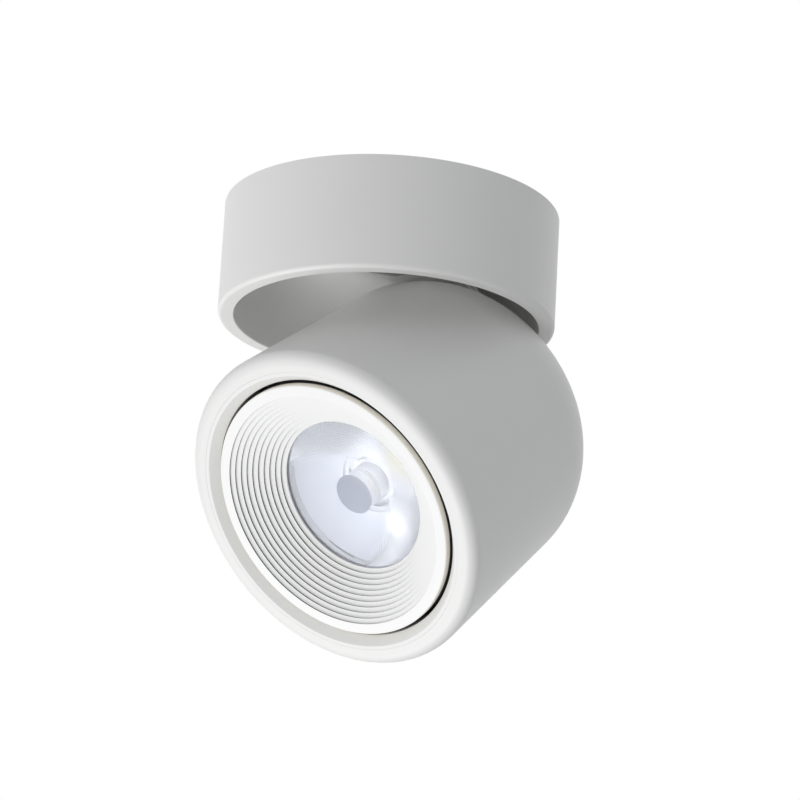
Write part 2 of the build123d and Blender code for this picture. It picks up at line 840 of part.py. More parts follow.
body_radius = lens_radius - lens_body_step
body_top = lens_front + lens_flange
cavity_top = lens_tail - lens_cavity_depth
crown_top = cavity_top + lens_cavity_crown
crown_radius = (lens_cavity_radius**2 + lens_cavity_crown**2) / (2 * lens_cavity_crown)
crown_angle = degrees(acos(lens_cavity_radius / crown_radius))
belly = (
    (body_radius + lens_tail_radius) / 2 + lens_body_bulge,
    (body_top + lens_tail) / 2 + lens_body_bulge,
)
with BuildPart() as lens:
    with BuildSketch(section(head_back)):
        with BuildLine():
            Polyline(
                (0, lens_front + lens_centre_depth),
                (lens_centre_radius, lens_front + lens_centre_depth),
                (lens_centre_radius, lens_front),
                (lens_radius, lens_front),
                (lens_radius, body_top),
                (body_radius, body_top),
            )
            ThreePointArc((body_radius, body_top), belly, (lens_tail_radius, lens_tail))
            Polyline(
                (lens_tail_radius, lens_tail),
                (lens_cavity_radius, lens_tail),
                (lens_cavity_radius, cavity_top),
            )
            crown = CenterArc((0, crown_top - crown_radius), crown_radius, crown_angle, 90 - crown_angle)
            Line(crown @ 1, (0, lens_front + lens_centre_depth))
        make_face()
    revolve(axis=turning(head_back))
save(lens, "lens")

holder_bore = lens_radius + 0.1
holder_radius = holder_bore + holder_wall
ring_inner = lens_tail_radius + 5.0
ring_outer = ring_inner + holder_ring
with BuildPart() as lens_holder:
    with BuildSketch(section(head_back)):
        with BuildLine():
            Polyline(
                (holder_radius, lens_front),
                (holder_radius, body_top + 0.8),
                (ring_outer, retainer_front),
                (ring_inner, retainer_front),
                (ring_inner, retainer_front - holder_ledge),
                (holder_bore - holder_ledge, body_top + 1.2),
                (holder_bore - holder_ledge, body_top),
                (holder_bore, body_top),
                (holder_bore, lens_front),
                close=True,
            )
        make_face()
    revolve(axis=turning(head_back))
    # Windows in the cone leave ribs between the two rings.
    with BuildSketch(level(head_back, body_top + 2.5)):
        with PolarLocations(holder_radius / 2 + 8, window_count, start_angle=45):
            Rectangle(holder_radius - 4, window_width)
    extrude(amount=retainer_front - body_top - 6, mode=Mode.SUBTRACT)
save(lens_holder, "lens_holder")

# ---------------------------------------------------------------- light engine
with BuildPart() as thermal_pad:
    with BuildSketch(level(head_back, cob_back)):
        Rectangle(cob_size, cob_size)
    extrude(amount=thermal_pad_thickness)
save(thermal_pad, "thermal_pad")

with BuildPart() as cob_board:
    with BuildSketch(level(head_back, cob_front)):
        RectangleRounded(cob_size, cob_size, 0.6)
    extrude(amount=cob_thickness)
save(cob_board, "cob_board")

with BuildPart() as cob_phosphor:
    with BuildSketch(level(head_back, cob_front)):
        Circle(phosphor_radius)
    extrude(amount=-phosphor_height, taper=15)
save(cob_phosphor, "cob_phosphor")

with BuildPart() as cob_retainer:
    with BuildSketch(level(head_back, retainer_front)):
        Circle(cob_retainer_radius)
        Circle(lens_tail_radius + tail_gap, mode=Mode.SUBTRACT)
    extrude(amount=cob_retainer_height)
    with BuildSketch(level(head_back, cob_front)):
        Rectangle(cob_size + 0.2, cob_size + 0.2)
    extrude(amount=sink_front - cob_front, mode=Mode.SUBTRACT)
    with BuildSketch(level(head_back, retainer_front)):
        with GridLocations(2 * cob_screw_spread, 0, 2, 1):
            Circle(m3_head[0] + m3_head_gap)
    extrude(amount=cob_retainer_height - retainer_floor, mode=Mode.SUBTRACT)
    with BuildSketch(level(head_back, sink_front)):
        with GridLocations(2 * cob_screw_spread, 0, 2, 1):
            Circle(m3_hole)
    extrude(amount=-cob_retainer_height / 2, mode=Mode.SUBTRACT)
save(cob_retainer, "cob_retainer")


def facing_front(height):
    """The plane square to the head's axis that faces the front of the lamp."""
    return Plane(tilt_centre + head_back * height, x_dir=across, z_dir=head_back * -1)


cob_screws = pan_screws(
    facing_front(sink_front - retainer_floor),
    cob_screw_spread,
    2,
    0,
    m3_head,
    m3_shank,
    cob_screw_length,
)
save(cob_screws, "cob_screws")

with BuildPart() as heat_sink:
    with BuildSketch(level(head_back, sink_front)):
        Circle(sink_radius)
        with PolarLocations(skirt_inner + trim_skirt / 2, lug_count, start_angle=lug_turn + 60):
            with Locations((hook_barb / 2, 0)):
                Rectangle(trim_skirt + hook_barb + 0.2, hook_width + 0.4, mode=Mode.SUBTRACT)
        with PolarLocations(lug_screw_spread, lug_count, start_angle=lug_turn):
            Circle(m3_hole, mode=Mode.SUBTRACT)
        with GridLocations(2 * cob_screw_spread, 0, 2, 1):
            Circle(m3_shank + seated, mode=Mode.SUBTRACT)
    extrude(amount=sink_thickness)
    with BuildSketch(level(head_back, sink_back)):
        Circle(sink_hub)
        with PolarLocations((sink_hub + fin_reach) / 2 - 1, fin_count):
            Rectangle(fin_reach - sink_hub + 2, fin_thickness)
        with PolarLocations(cob_screw_spread, 2):
            Circle(m3_shank + 0.9, mode=Mode.SUBTRACT)
    extrude(amount=fin_height)
save(heat_sink, "heat_sink")

heat_sink_screws = pan_screws(
    facing_front(sink_front),
    lug_screw_spread,
    lug_count,
    -lug_turn,
    m3_head,
    m3_shank,
    sink_screw_length,
)
save(heat_sink_screws, "heat_sink_screws")

# ---------------------------------------------------------------- driver
with BuildPart() as driver_standoffs:
    with BuildSketch(level(head_back, sink_back)):
        with PolarLocations(standoff_spread, lug_count, start_angle=lug_turn + 60):
            RegularPolygon(radius=standoff_flats / 2, side_count=6, major_radius=False)
    extrude(amount=standoff_height)
    with BuildSketch(level(head_back, tray_bottom)):
        with PolarLocations(standoff_spread, lug_count, start_angle=lug_turn + 60):
            Circle(m3_shank + seated)
    extrude(amount=-standoff_height / 2, mode=Mode.SUBTRACT)
save(driver_standoffs, "driver_standoffs")

with BuildPart() as driver_tray:
    with BuildSketch(level(head_back, tray_bottom)):
        Circle(cover_radius)
    extrude(amount=tray_thickness)
    with BuildSketch(level(head_back, tray_top)):
        Circle(tray_rim_radius)
        Circle(tray_rim_radius - tray_rim_wall, mode=Mode.SUBTRACT)
    extrude(amount=tray_rim_height)
    with BuildSketch(level(head_back, tray_top)):
        with PolarLocations(standoff_spread, lug_count, start_angle=lug_turn):
            Circle(post_radius)
    extrude(amount=post_height)
    with BuildSketch(level(head_back, board_bottom)):
        with PolarLocations(standoff_spread, lug_count, start_angle=lug_turn):
            Circle(board_screw_shank + seated)
    extrude(amount=-post_height, mode=Mode.SUBTRACT)
    with BuildSketch(level(head_back, tray_bottom)):
        with PolarLocations(standoff_spread, lug_count, start_angle=lug_turn + 60):
            Circle(m3_hole)
    extrude(amount=tray_thickness, mode=Mode.SUBTRACT)
save(driver_tray, "driver_tray")

driver_screws = pan_screws(
    level(head_back, tray_top),
    standoff_spread,
    lug_count,
    lug_turn + 60,
    m3_head,
    m3_shank,
    tray_screw_length,
)
save(driver_screws, "driver_screws")

with BuildPart() as driver_board:
    with BuildSketch(level(head_back, board_bottom)):
        Circle(board_radius)
        with PolarLocations(standoff_spread, lug_count, start_angle=lug_turn):
            Circle(board_screw_hole, mode=Mode.SUBTRACT)
        with PolarLocations(board_radius, lug_count, start_angle=lug_turn + 60):
            Circle(m3_head[0] + m3_head_gap, mode=Mode.SUBTRACT)
    extrude(amount=board_thickness)
save(driver_board, "driver_board")

board_screws = pan_screws(
    level(head_back, board_top),
    standoff_spread,
    lug_count,
    lug_turn,
    board_screw_head,
    board_screw_shank,
    board_screw_length,
)
save(board_screws, "board_screws")

with BuildPart() as driver_transformer:
    core_top = board_top + transformer_base + winding_height
    with BuildSketch(level(head_back, board_top)):
        Rectangle(transformer_length, transformer_width)
    extrude(amount=transformer_base)
    with BuildSketch(level(head_back, board_top + transformer_base)):
        Rectangle(transformer_length - 2, transformer_width - 2)
        RectangleRounded(winding_length, winding_width, transformer_base)
    extrude(amount=winding_height)
    with BuildSketch(level(head_back, core_top)):
        Rectangle(transformer_length, transformer_width - 2)
    extrude(amount=transformer_height - transformer_base - winding_height)
save(driver_transformer, "driver_transformer")

with BuildPart() as driver_capacitors:
    for (radius, height), place in (
        (input_capacitor, (10 - standoff_spread, 0)),
        (output_capacitor, (standoff_spread - 11, standoff_spread - 17)),
    ):
        with BuildSketch(level(head_back, board_top)):
            with Locations(place):
                Circle(radius)
        extrude(amount=height)
    fillet(driver_capacitors.faces().filter_by(GeomType.PLANE).edges(), capacitor_edge)
save(driver_capacitors, "driver_capacitors")

with BuildPart() as driver_film_capacitor:
    length, width, height = film_capacitor
    with BuildSketch(level(head_back, board_top)):
        with Locations((0, standoff_spread - 12)):
            Rectangle(length, width)
    extrude(amount=height)
    fillet(driver_film_capacitor.edges().filter_by(Axis((0, 0, 0), head_back)), capacitor_edge)
save(driver_film_capacitor, "driver_film_capacitor")

with BuildPart() as driver_connector:
    length, width, height = connector
    mouth_length, mouth_width, mouth_depth = connector_mouth
    connector_place = 9 - standoff_spread
    with BuildSketch(level(head_back, board_top)):
        with Locations((0, connector_place)):
            Rectangle(length, width)
    extrude(amount=height)
    with BuildSketch(level(head_back, board_top + height)):
        with Locations((0, connector_place - 1)):
            with GridLocations(connector_pitch, 0, 2, 1):
                Rectangle(mouth_length, mouth_width)
    extrude(amount=-mouth_depth, mode=Mode.SUBTRACT)
save(driver_connector, "driver_connector")

grommet_out = head_back * cos(radians(grommet_lean)) + across * sin(radians(grommet_lean))
grommet_face = Plane(tilt_centre + grommet_out * (cover_dome + seated), z_dir=grommet_out)
cover_inner = cover_dome - cover_wall
inner_radius = cover_radius - cover_wall
with BuildPart() as driver_cover:
    with BuildSketch(section(head_back)):
        outer_angle = degrees(acos(cover_radius / cover_dome))
        inner_angle = degrees(acos(inner_radius / cover_inner))
        with BuildLine():
            Line((cover_radius, tray_top), (cover_radius, cover_dome * sin(radians(outer_angle))))
            outer_dome = CenterArc((0, 0), cover_dome, outer_angle, 90 - outer_angle)
            Line(outer_dome @ 1, (0, cover_inner))
            CenterArc((0, 0), cover_inner, 90, inner_angle - 90)
            Line((inner_radius, cover_inner * sin(radians(inner_angle))), (inner_radius, tray_top))
            Line((inner_radius, tray_top), (cover_radius, tray_top))
        make_face()
    revolve(axis=turning(head_back))
    with BuildSketch(grommet_face.offset(-3 * cover_wall)):
        Circle(grommet_neck + seated)
    extrude(amount=5 * cover_wall, mode=Mode.SUBTRACT)
save(driver_cover, "driver_cover")

with BuildPart() as cover_grommet:
    with BuildSketch(grommet_face):
        Circle(grommet_neck + 1.2)
    extrude(amount=0.8)
    with BuildSketch(grommet_face):
        Circle(grommet_neck)
    extrude(amount=-2 * cover_wall)
    with BuildSketch(grommet_face.offset(0.8)):
        Circle(grommet_bore)
    extrude(amount=-0.8 - 2 * cover_wall, mode=Mode.SUBTRACT)
save(cover_grommet, "cover_grommet")
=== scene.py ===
# %% [markdown]
# Surface mounted ceiling spotlight
#
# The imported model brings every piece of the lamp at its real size, already in place. This
# lesson dresses it: it turns the pieces that show on a finer lathe, paints them with
# procedural materials, and sets up the plain studio in which the lamp is photographed from
# below. All lengths are metres, and the origin is the middle of the ceiling face.

import math

import bmesh
import bpy
from mathutils import Matrix, Vector
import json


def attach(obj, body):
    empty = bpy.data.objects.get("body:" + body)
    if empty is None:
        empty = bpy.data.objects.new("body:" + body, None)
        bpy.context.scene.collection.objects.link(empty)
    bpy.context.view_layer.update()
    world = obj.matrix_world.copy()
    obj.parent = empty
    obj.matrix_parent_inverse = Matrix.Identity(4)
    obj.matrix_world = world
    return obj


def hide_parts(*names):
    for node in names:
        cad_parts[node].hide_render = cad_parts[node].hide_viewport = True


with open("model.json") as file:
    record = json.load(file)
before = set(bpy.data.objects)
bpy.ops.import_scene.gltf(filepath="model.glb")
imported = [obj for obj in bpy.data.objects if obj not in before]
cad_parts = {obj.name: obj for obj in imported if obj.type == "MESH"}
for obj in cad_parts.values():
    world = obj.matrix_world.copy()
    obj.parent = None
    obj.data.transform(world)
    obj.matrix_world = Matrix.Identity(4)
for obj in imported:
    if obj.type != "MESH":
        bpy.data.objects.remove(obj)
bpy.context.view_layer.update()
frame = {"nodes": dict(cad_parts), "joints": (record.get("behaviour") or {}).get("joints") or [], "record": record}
nodes = frame["nodes"]
joints = {joint["name"]: joint for joint in frame["joints"]}
tilt_centre = Vector(joints["tilt"]["pos_m"])
print("pieces:", len(nodes), "joints:", sorted(joints))

# %% [markdown]
# The head aims down and forwards at rest, 50 degrees from straight down. Most of the work
# below happens round its axis. Work is turned upright, with the axis along Z and heights
# counted from the tilt axis towards the dome, and one matrix then lays it onto the head.

# %% Directions of the head
MM = 0.001
REST_TILT = math.radians(50)
across = Vector((1, 0, 0))
head_back = Vector((0, math.sin(REST_TILT), math.cos(REST_TILT)))
head_turn = Matrix((across, head_back.cross(across), head_back)).transposed()
onto_head = Matrix.Translation(tilt_centre) @ head_turn.to_4x4()
print("head axis:", tuple(round(v, 3) for v in head_back))

# %% [markdown]
# ## Camera
# The photograph was taken from below and from the right of the beam, with a long lens. The
# angles and the distance were solved from the ellipses of the rim, the front ring and the
# baffle, so the camera is written as those real values and a small pan, tilt and roll.

# %% Camera
IMAGE_PIXELS = 800
FOCAL_PIXELS = 4098.7
VIEW_AZIMUTH = math.radians(44.85)
VIEW_ELEVATION = math.radians(-20.4)
VIEW_DISTANCE = 1.2268
PAN = math.radians(0.26)
LIFT = math.radians(-2.57)
ROLL = math.radians(3.37)
SENSOR_MM = 36.0


def camera_axes():
    """The camera's place, and its right, up and forward directions in the frame."""
    out = Vector((
        math.sin(VIEW_AZIMUTH) * math.cos(VIEW_ELEVATION),
        -math.cos(VIEW_AZIMUTH) * math.cos(VIEW_ELEVATION),
        math.sin(VIEW_ELEVATION),
    ))
    forward = -out
    right = Vector((math.cos(VIEW_AZIMUTH), math.sin(VIEW_AZIMUTH), 0))
    up = right.cross(forward)
    forward = forward * math.cos(PAN) + right * math.sin(PAN)
    right = forward.cross(up)
    forward = forward * math.cos(LIFT) + up * math.sin(LIFT)
    up = right.cross(forward)
    rolled_right = right * math.cos(ROLL) + up * math.sin(ROLL)
    rolled_up = up * math.cos(ROLL) - right * math.sin(ROLL)
    return out * VIEW_DISTANCE, rolled_right, rolled_up, forward


def add_camera():
    place, right, up, forward = camera_axes()
    data = bpy.data.cameras.new("camera")
    data.sensor_width = SENSOR_MM
    data.lens = FOCAL_PIXELS * SENSOR_MM / IMAGE_PIXELS
    data.clip_start = 0.01
    data.clip_end = 20
    camera = bpy.data.objects.new("camera", data)
    bpy.context.scene.collection.objects.link(camera)
    matrix = camera.matrix_world.copy()
    for row in range(3):
        matrix[row][0] = right[row]
        matrix[row][1] = up[row]
        matrix[row][2] = -forward[row]
        matrix[row][3] = place[row]
    camera.matrix_world = matrix
    bpy.context.scene.camera = camera
    return camera


camera = add_camera()
print("lens:", round(camera.data.lens, 1), "mm")

# %% [markdown]
# ## Studio
# The lamp hangs free over a pale floor, as in a product photograph. The world is white where
# the camera, a reflection or a lens sees it, and a softer grey as light, so the shapes keep
# their shading.

# %% World
WORLD_LIGHT = 0.425
WORLD_TINT = (0.97, 0.985, 1, 1)


def add_world():
    world = bpy.data.worlds.new("studio")
    bpy.context.scene.world = world
    world.use_nodes = True
    tree = world.node_tree
    tree.nodes.clear()
    out = tree.nodes.new("ShaderNodeOutputWorld")
    seen = tree.nodes.new("ShaderNodeBackground")
    light = tree.nodes.new("ShaderNodeBackground")
    mix = tree.nodes.new("ShaderNodeMixShader")
    path = tree.nodes.new("ShaderNodeLightPath")
    seen.inputs["Color"].default_value = (1, 1, 1, 1)
    seen.inputs["Strength"].default_value = 1.0
    light.inputs["Color"].default_value = WORLD_TINT
    light.inputs["Strength"].default_value = WORLD_LIGHT
    ray = path.outputs["Is Camera Ray"]
    for name in ("Is Glossy Ray", "Is Transmission Ray"):
        either = tree.nodes.new("ShaderNodeMath")
        either.operation = "MAXIMUM"
        tree.links.new(ray, either.inputs[0])
        tree.links.new(path.outputs[name], either.inputs[1])
        ray = either.outputs[0]
    tree.links.new(ray, mix.inputs["Fac"])
    tree.links.new(light.outputs[0], mix.inputs[1])
    tree.links.new(seen.outputs[0], mix.inputs[2])
    tree.links.new(mix.outputs[0], out.inputs["Surface"])
    bpy.context.scene.view_settings.view_transform = "Standard"
    return world


add_world()
print("world light:", WORLD_LIGHT)

# %% [markdown]
# In a studio the shading of a white thing comes from where the light is missing. A large soft
# lamp shines up from the left and leaves the right side of the drum grey. A weaker one stands
# between it and the camera and lights the front. Both places are written along the camera's
# own directions, because the photograph shows the light from there.

# %% Lamps
KEY_POWER = 6.2
KEY_PLACE = (-1.0, -1.3, -0.3)
SIDE_POWER = 4.0
SIDE_PLACE = (-1.0, -0.3, -1.2)
LAMP_SIZE = 0.9
LAMP_DISTANCE = 1.2
AIM_SHARE = 0.7


def add_area(name, place, power):
    """A round soft lamp, placed along the camera's right, up and forward directions."""
    _, right, up, forward = camera_axes()
    direction = place[0] * right + place[1] * up + place[2] * forward
    data = bpy.data.lights.new(name, "AREA")
    data.energy = power
    data.shape = "DISK"
    data.size = LAMP_SIZE
    lamp = bpy.data.objects.new(name, data)
    bpy.context.scene.collection.objects.link(lamp)
    aim = tilt_centre * AIM_SHARE
    lamp.location = aim + direction.normalized() * LAMP_DISTANCE
    lamp.rotation_euler = direction.to_track_quat("Z", "Y").to_euler()
    return lamp


key = add_area("key", KEY_PLACE, KEY_POWER)
side = add_area("side", SIDE_PLACE, SIDE_POWER)
print("key at", tuple(round(v, 2) for v in key.location))

# %% [markdown]
# The floor is far below the lamp, plain and pale, and only takes a faint soft shadow.

# %% Floor
FLOOR_LEVEL = -1.9
FLOOR_SIZE = 12.0
FLOOR_COLOUR = (0.93, 0.93, 0.93, 1)


def add_floor():
    mesh = bpy.data.meshes.new("floor")
    half = FLOOR_SIZE / 2
    corners = [(-half, -half), (half, -half), (half, half), (-half, half)]
    mesh.from_pydata([(x, y, FLOOR_LEVEL) for x, y in corners], [], [(0, 1, 2, 3)])
    floor = bpy.data.objects.new("floor", mesh)
    bpy.context.scene.collection.objects.link(floor)
    material = bpy.data.materials.new("floor_paper")
    material.use_nodes = True
    shader = material.node_tree.nodes["Principled BSDF"]
    shader.inputs["Base Color"].default_value = FLOOR_COLOUR
    shader.inputs["Roughness"].default_value = 0.9
    mesh.materials.append(material)
    return floor


add_floor()
print("floor at", FLOOR_LEVEL, "m")

# %% [markdown]
# ## Materials
# Every finish is a Principled material fed by one of a few shared node groups. The first
# group makes the texture of a sprayed or moulded surface: a fine bumpy skin, faint clouds in
# the colour, and patches that are a little smoother where hands have touched them.

# %% Tools for node trees
FLOAT = "NodeSocketFloat"
COLOR = "NodeSocketColor"


def new_group(name, inputs, outputs):
    """A node group with named float and colour sockets; returns tree, ins and outs."""
    group = bpy.data.node_groups.new(name, "ShaderNodeTree")
    for socket, kind, value in inputs:
        made = group.interface.new_socket(name=socket, in_out="INPUT", socket_type=kind)
        made.default_value = value
    for socket, kind in outputs:
        group.interface.new_socket(name=socket, in_out="OUTPUT", socket_type=kind)
    ins = group.nodes.new("NodeGroupInput")
    outs = group.nodes.new("NodeGroupOutput")
    return group, ins, outs


def math_node(tree, operation, first, second=0.0):
    """A math node whose two inputs are sockets or numbers; returns its output."""
    node = tree.nodes.new("ShaderNodeMath")
    node.operation = operation
    for place, value in enumerate((first, second)):
        if isinstance(value, (int, float)):
            node.inputs[place].default_value = value
        else:
            tree.links.new(value, node.inputs[place])
    return node.outputs[0]


def noise_node(tree, vector, scale, detail, roughness=0.5):
    """A 3-D noise texture; returns its centred value, about -0.5 to 0.5."""
    node = tree.nodes.new("ShaderNodeTexNoise")
    node.inputs["Detail"].default_value = detail
    node.inputs["Roughness"].default_value = roughness
    tree.links.new(vector, node.inputs["Vector"])
    if isinstance(scale, (int, float)):
        node.inputs["Scale"].default_value = scale
    else:
        tree.links.new(scale, node.inputs["Scale"])
    return math_node(tree, "SUBTRACT", node.outputs["Fac"], 0.5)


def clouded(group, ins, cloud):
    """The group's colour, a little lighter and darker in clouds."""
    shade = math_node(group, "MULTIPLY", cloud, ins.outputs["Clouds"])
    shade = math_node(group, "ADD", shade, 1.0)
    tint = group.nodes.new("ShaderNodeHueSaturation")
    group.links.new(ins.outputs["Color"], tint.inputs["Color"])
    group.links.new(shade, tint.inputs["Value"])
    return tint.outputs["Color"]


print("node tools ready")

# %% [markdown]
# The skin has three noises: clouds and touched patches some centimetres wide, and a grain of
# well under a millimetre. They read Object coordinates, so the pattern keeps its real size and
# stays on the piece when the head turns. An image could hold the same, but would need a map.

# %% Node group for a skin
CLOUDS_PER_METRE = 28.0
TOUCHES_PER_METRE = 60.0
TOUCH_RAGGEDNESS = 0.65


def skin_group():
    group, ins, outs = new_group(
        "skin",
        [
            ("Color", COLOR, (0.8, 0.8, 0.8, 1)),
            ("Clouds", FLOAT, 0.03),
            ("Roughness", FLOAT, 0.5),
            ("Wear", FLOAT, 0.06),
            ("Grain Scale", FLOAT, 1500.0),
        ],
        [("Color", COLOR), ("Roughness", FLOAT), ("Height", FLOAT)],
    )
    where = group.nodes.new("ShaderNodeTexCoord").outputs["Object"]
    cloud = noise_node(group, where, CLOUDS_PER_METRE, 3.0)
    touch = noise_node(group, where, TOUCHES_PER_METRE, 4.0, TOUCH_RAGGEDNESS)
    grain = noise_node(group, where, ins.outputs["Grain Scale"], 2.0)
    rough = math_node(group, "MULTIPLY", touch, ins.outputs["Wear"])
    rough = math_node(group, "ADD", rough, ins.outputs["Roughness"])
    fine = math_node(group, "MULTIPLY", grain, ins.outputs["Wear"])
    rough = math_node(group, "ADD", rough, fine)
    group.links.new(clouded(group, ins, cloud), outs.inputs["Color"])
    group.links.new(rough, outs.inputs["Roughness"])
    group.links.new(grain, outs.inputs["Height"])
    return group


SKIN = skin_group()
print("group:", SKIN.name, [s.name for s in SKIN.interface.items_tree])

# %% [markdown]
# Metal parts get a second group instead: scratches drawn out along one axis, as on rolled
# sheet, and a slightly cloudy plating.

# %% Node group for rolled metal
ROLL_STRETCH = (60, 3000, 3000)
PLATING_CLOUDS_PER_METRE = 90.0


def rolled_group():
    group, ins, outs = new_group(
        "rolled",
        [
            ("Color", COLOR, (0.6, 0.6, 0.6, 1)),
            ("Clouds", FLOAT, 0.15),
            ("Roughness", FLOAT, 0.35),
            ("Wear", FLOAT, 0.12),
        ],
        [("Color", COLOR), ("Roughness", FLOAT), ("Height", FLOAT)],
    )
    where = group.nodes.new("ShaderNodeTexCoord").outputs["Object"]
    stretch = group.nodes.new("ShaderNodeMapping")
    stretch.inputs["Scale"].default_value = ROLL_STRETCH
    group.links.new(where, stretch.inputs["Vector"])
    lines = noise_node(group, stretch.outputs["Vector"], 1.0, 3.0)
    cloud = noise_node(group, where, PLATING_CLOUDS_PER_METRE, 4.0)
    rough = math_node(group, "ADD", lines, cloud)
    rough = math_node(group, "MULTIPLY", rough, ins.outputs["Wear"])
    rough = math_node(group, "ADD", rough, ins.outputs["Roughness"])
    group.links.new(clouded(group, ins, cloud), outs.inputs["Color"])
    group.links.new(rough, outs.inputs["Roughness"])
    group.links.new(lines, outs.inputs["Height"])
    return group


ROLLED = rolled_group()
print("group:", ROLLED.name)

# %% [markdown]
# Each finish of the lamp is then one line: which group, which colour, how rough, how bumpy.
# Colours are linear. The bump height is in metres, so it keeps its real size.

# %% The finishes
def new_finish(name, group, color, roughness, bump=0.0, metallic=0.0, **settings):
    """A Principled material whose colour, roughness and bump come from a group."""
    material = bpy.data.materials.new(name)
    material.use_nodes = True
    tree = material.node_tree
    shader = tree.nodes["Principled BSDF"]
    shader.inputs["Metallic"].default_value = metallic
    node = tree.nodes.new("ShaderNodeGroup")
    node.node_tree = group
    node.inputs["Color"].default_value = (*color, 1)
    node.inputs["Roughness"].default_value = roughness
    for key, value in settings.items():
        node.inputs[key.replace("_", " ").title()].default_value = value
    tree.links.new(node.outputs["Color"], shader.inputs["Base Color"])
    tree.links.new(node.outputs["Roughness"], shader.inputs["Roughness"])
    if bump:
        relief = tree.nodes.new("ShaderNodeBump")
        relief.inputs["Distance"].default_value = bump
        tree.links.new(node.outputs["Height"], relief.inputs["Height"])
        tree.links.new(relief.outputs["Normal"], shader.inputs["Normal"])
    return material


FINISHES = {
    "white_paint": new_finish("white_paint", SKIN, (0.86, 0.86, 0.845), 0.42, 6e-6, grain_scale=2600.0),
    "white_plastic": new_finish("white_plastic", SKIN, (0.86, 0.86, 0.85), 0.5, 2e-6, grain_scale=3000.0),
    "zinc_steel": new_finish("zinc_steel", ROLLED, (0.55, 0.56, 0.58), 0.36, 4e-6, 1.0),
    "brass": new_finish("brass", ROLLED, (0.69, 0.49, 0.2), 0.3, 3e-6, 1.0),
    "natural_nylon": new_finish("natural_nylon", SKIN, (0.78, 0.76, 0.68), 0.48, 3e-6),
    "silicone": new_finish("silicone", SKIN, (0.62, 0.58, 0.5), 0.6, 3e-6),
    "black_rubber": new_finish("black_rubber", SKIN, (0.02, 0.02, 0.02), 0.7, 5e-6),
    "aluminium": new_finish("aluminium", ROLLED, (0.7, 0.71, 0.72), 0.42, 5e-6, 1.0),
    "ceramic": new_finish("ceramic", SKIN, (0.78, 0.78, 0.75), 0.4, 1e-6),
    "phosphor": new_finish("phosphor", SKIN, (0.85, 0.76, 0.46), 0.55, 2e-6),
    "thermal_silicone": new_finish("thermal_silicone", SKIN, (0.18, 0.2, 0.24), 0.75, 4e-6),
    "board_green": new_finish("board_green", SKIN, (0.01, 0.09, 0.03), 0.35, 2e-6),
    "black_plastic": new_finish("black_plastic", SKIN, (0.015, 0.015, 0.017), 0.4, 3e-6),
    "capacitor_sleeve": new_finish("capacitor_sleeve", SKIN, (0.01, 0.013, 0.03), 0.28),
    "reflector_film": new_finish("reflector_film", SKIN, (0.95, 0.96, 0.98), 0.5, 1e-6),
    "film_red": new_finish("film_red", SKIN, (0.27, 0.02, 0.01), 0.3),
}


ACRYLIC_TINT = (0.93, 0.95, 1.0, 1)
ACRYLIC_INDEX = 1.49


def new_acrylic(name):
    """Clear polished acrylic."""
    material = bpy.data.materials.new(name)
    material.use_nodes = True
    shader = material.node_tree.nodes["Principled BSDF"]
    shader.inputs["Base Color"].default_value = ACRYLIC_TINT
    shader.inputs["Roughness"].default_value = 0.0
    shader.inputs["IOR"].default_value = ACRYLIC_INDEX
    shader.inputs["Transmission Weight"].default_value = 1.0
    return material


FINISHES["clear_acrylic"] = new_acrylic("clear_acrylic")
print("finishes:", len(FINISHES))

# %% [markdown]
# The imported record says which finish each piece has, so one loop paints the whole model.

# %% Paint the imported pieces
slot_of = {row["node"]: row["material_slot"] for row in frame["record"]["subparts"]}


def coat(piece, *materials):
    """Give a piece these materials and no others."""
    piece.data.materials.clear()
    for material in materials:
        piece.data.materials.append(material)


def paint(piece, slot):
    """Give a piece the finish of its slot in the record."""
    coat(piece, FINISHES[slot])


for name, node in nodes.items():
    paint(node, slot_of[name])
print("painted:", len(nodes))

# %% [markdown]
# Three inner pieces show through the gap or the lens. They are white like what surrounds
# them: the bracket is painted with the housing, the holder is moulded in pale plastic.

# %% Pale inner pieces
PALE_PIECES = {
    "swivel_bracket": "white_paint",
    "saddle_pad": "white_plastic",
    "lens_holder": "white_plastic",
}
for name, finish in PALE_PIECES.items():
    coat(nodes[name], FINISHES[finish])
print("repainted:", *PALE_PIECES)

# %% [markdown]
# ## Turned pieces
# The front ring, the lens and the sleeve behind it are round pieces seen closely, so they are
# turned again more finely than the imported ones. Screw or Spin would do it too, but a small lathe
# of our own can also change a radius on the way round. It takes an outline of radius and height,
# in order, and sweeps it round the head's axis. An outline that starts and ends on the axis
# isn't closed.

# %% The lathe
SEGMENTS = 288
SHARP_EDGE = math.radians(20)
WELD_DISTANCE = 1e-7


def put_on_head(mesh, name, replaced):
    """Make an object of an upright mesh, lay it on the head and parent it to the head's body."""
    mesh.transform(onto_head)
    piece = bpy.data.objects.new(name, mesh)
    bpy.context.scene.collection.objects.link(piece)
    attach(piece, "head")
    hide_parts(replaced)
    paint(piece, slot_of[replaced])
    return piece


def tidy_mesh(mesh):
    """Weld, turn the faces outwards and shade smooth between sharp edges."""
    work = bmesh.new()
    work.from_mesh(mesh)
    bmesh.ops.remove_doubles(work, verts=work.verts, dist=WELD_DISTANCE)
    bmesh.ops.recalc_face_normals(work, faces=work.faces)
    work.to_mesh(mesh)
    work.free()
    mesh.shade_smooth()
    mesh.set_sharp_from_angle(angle=SHARP_EDGE)


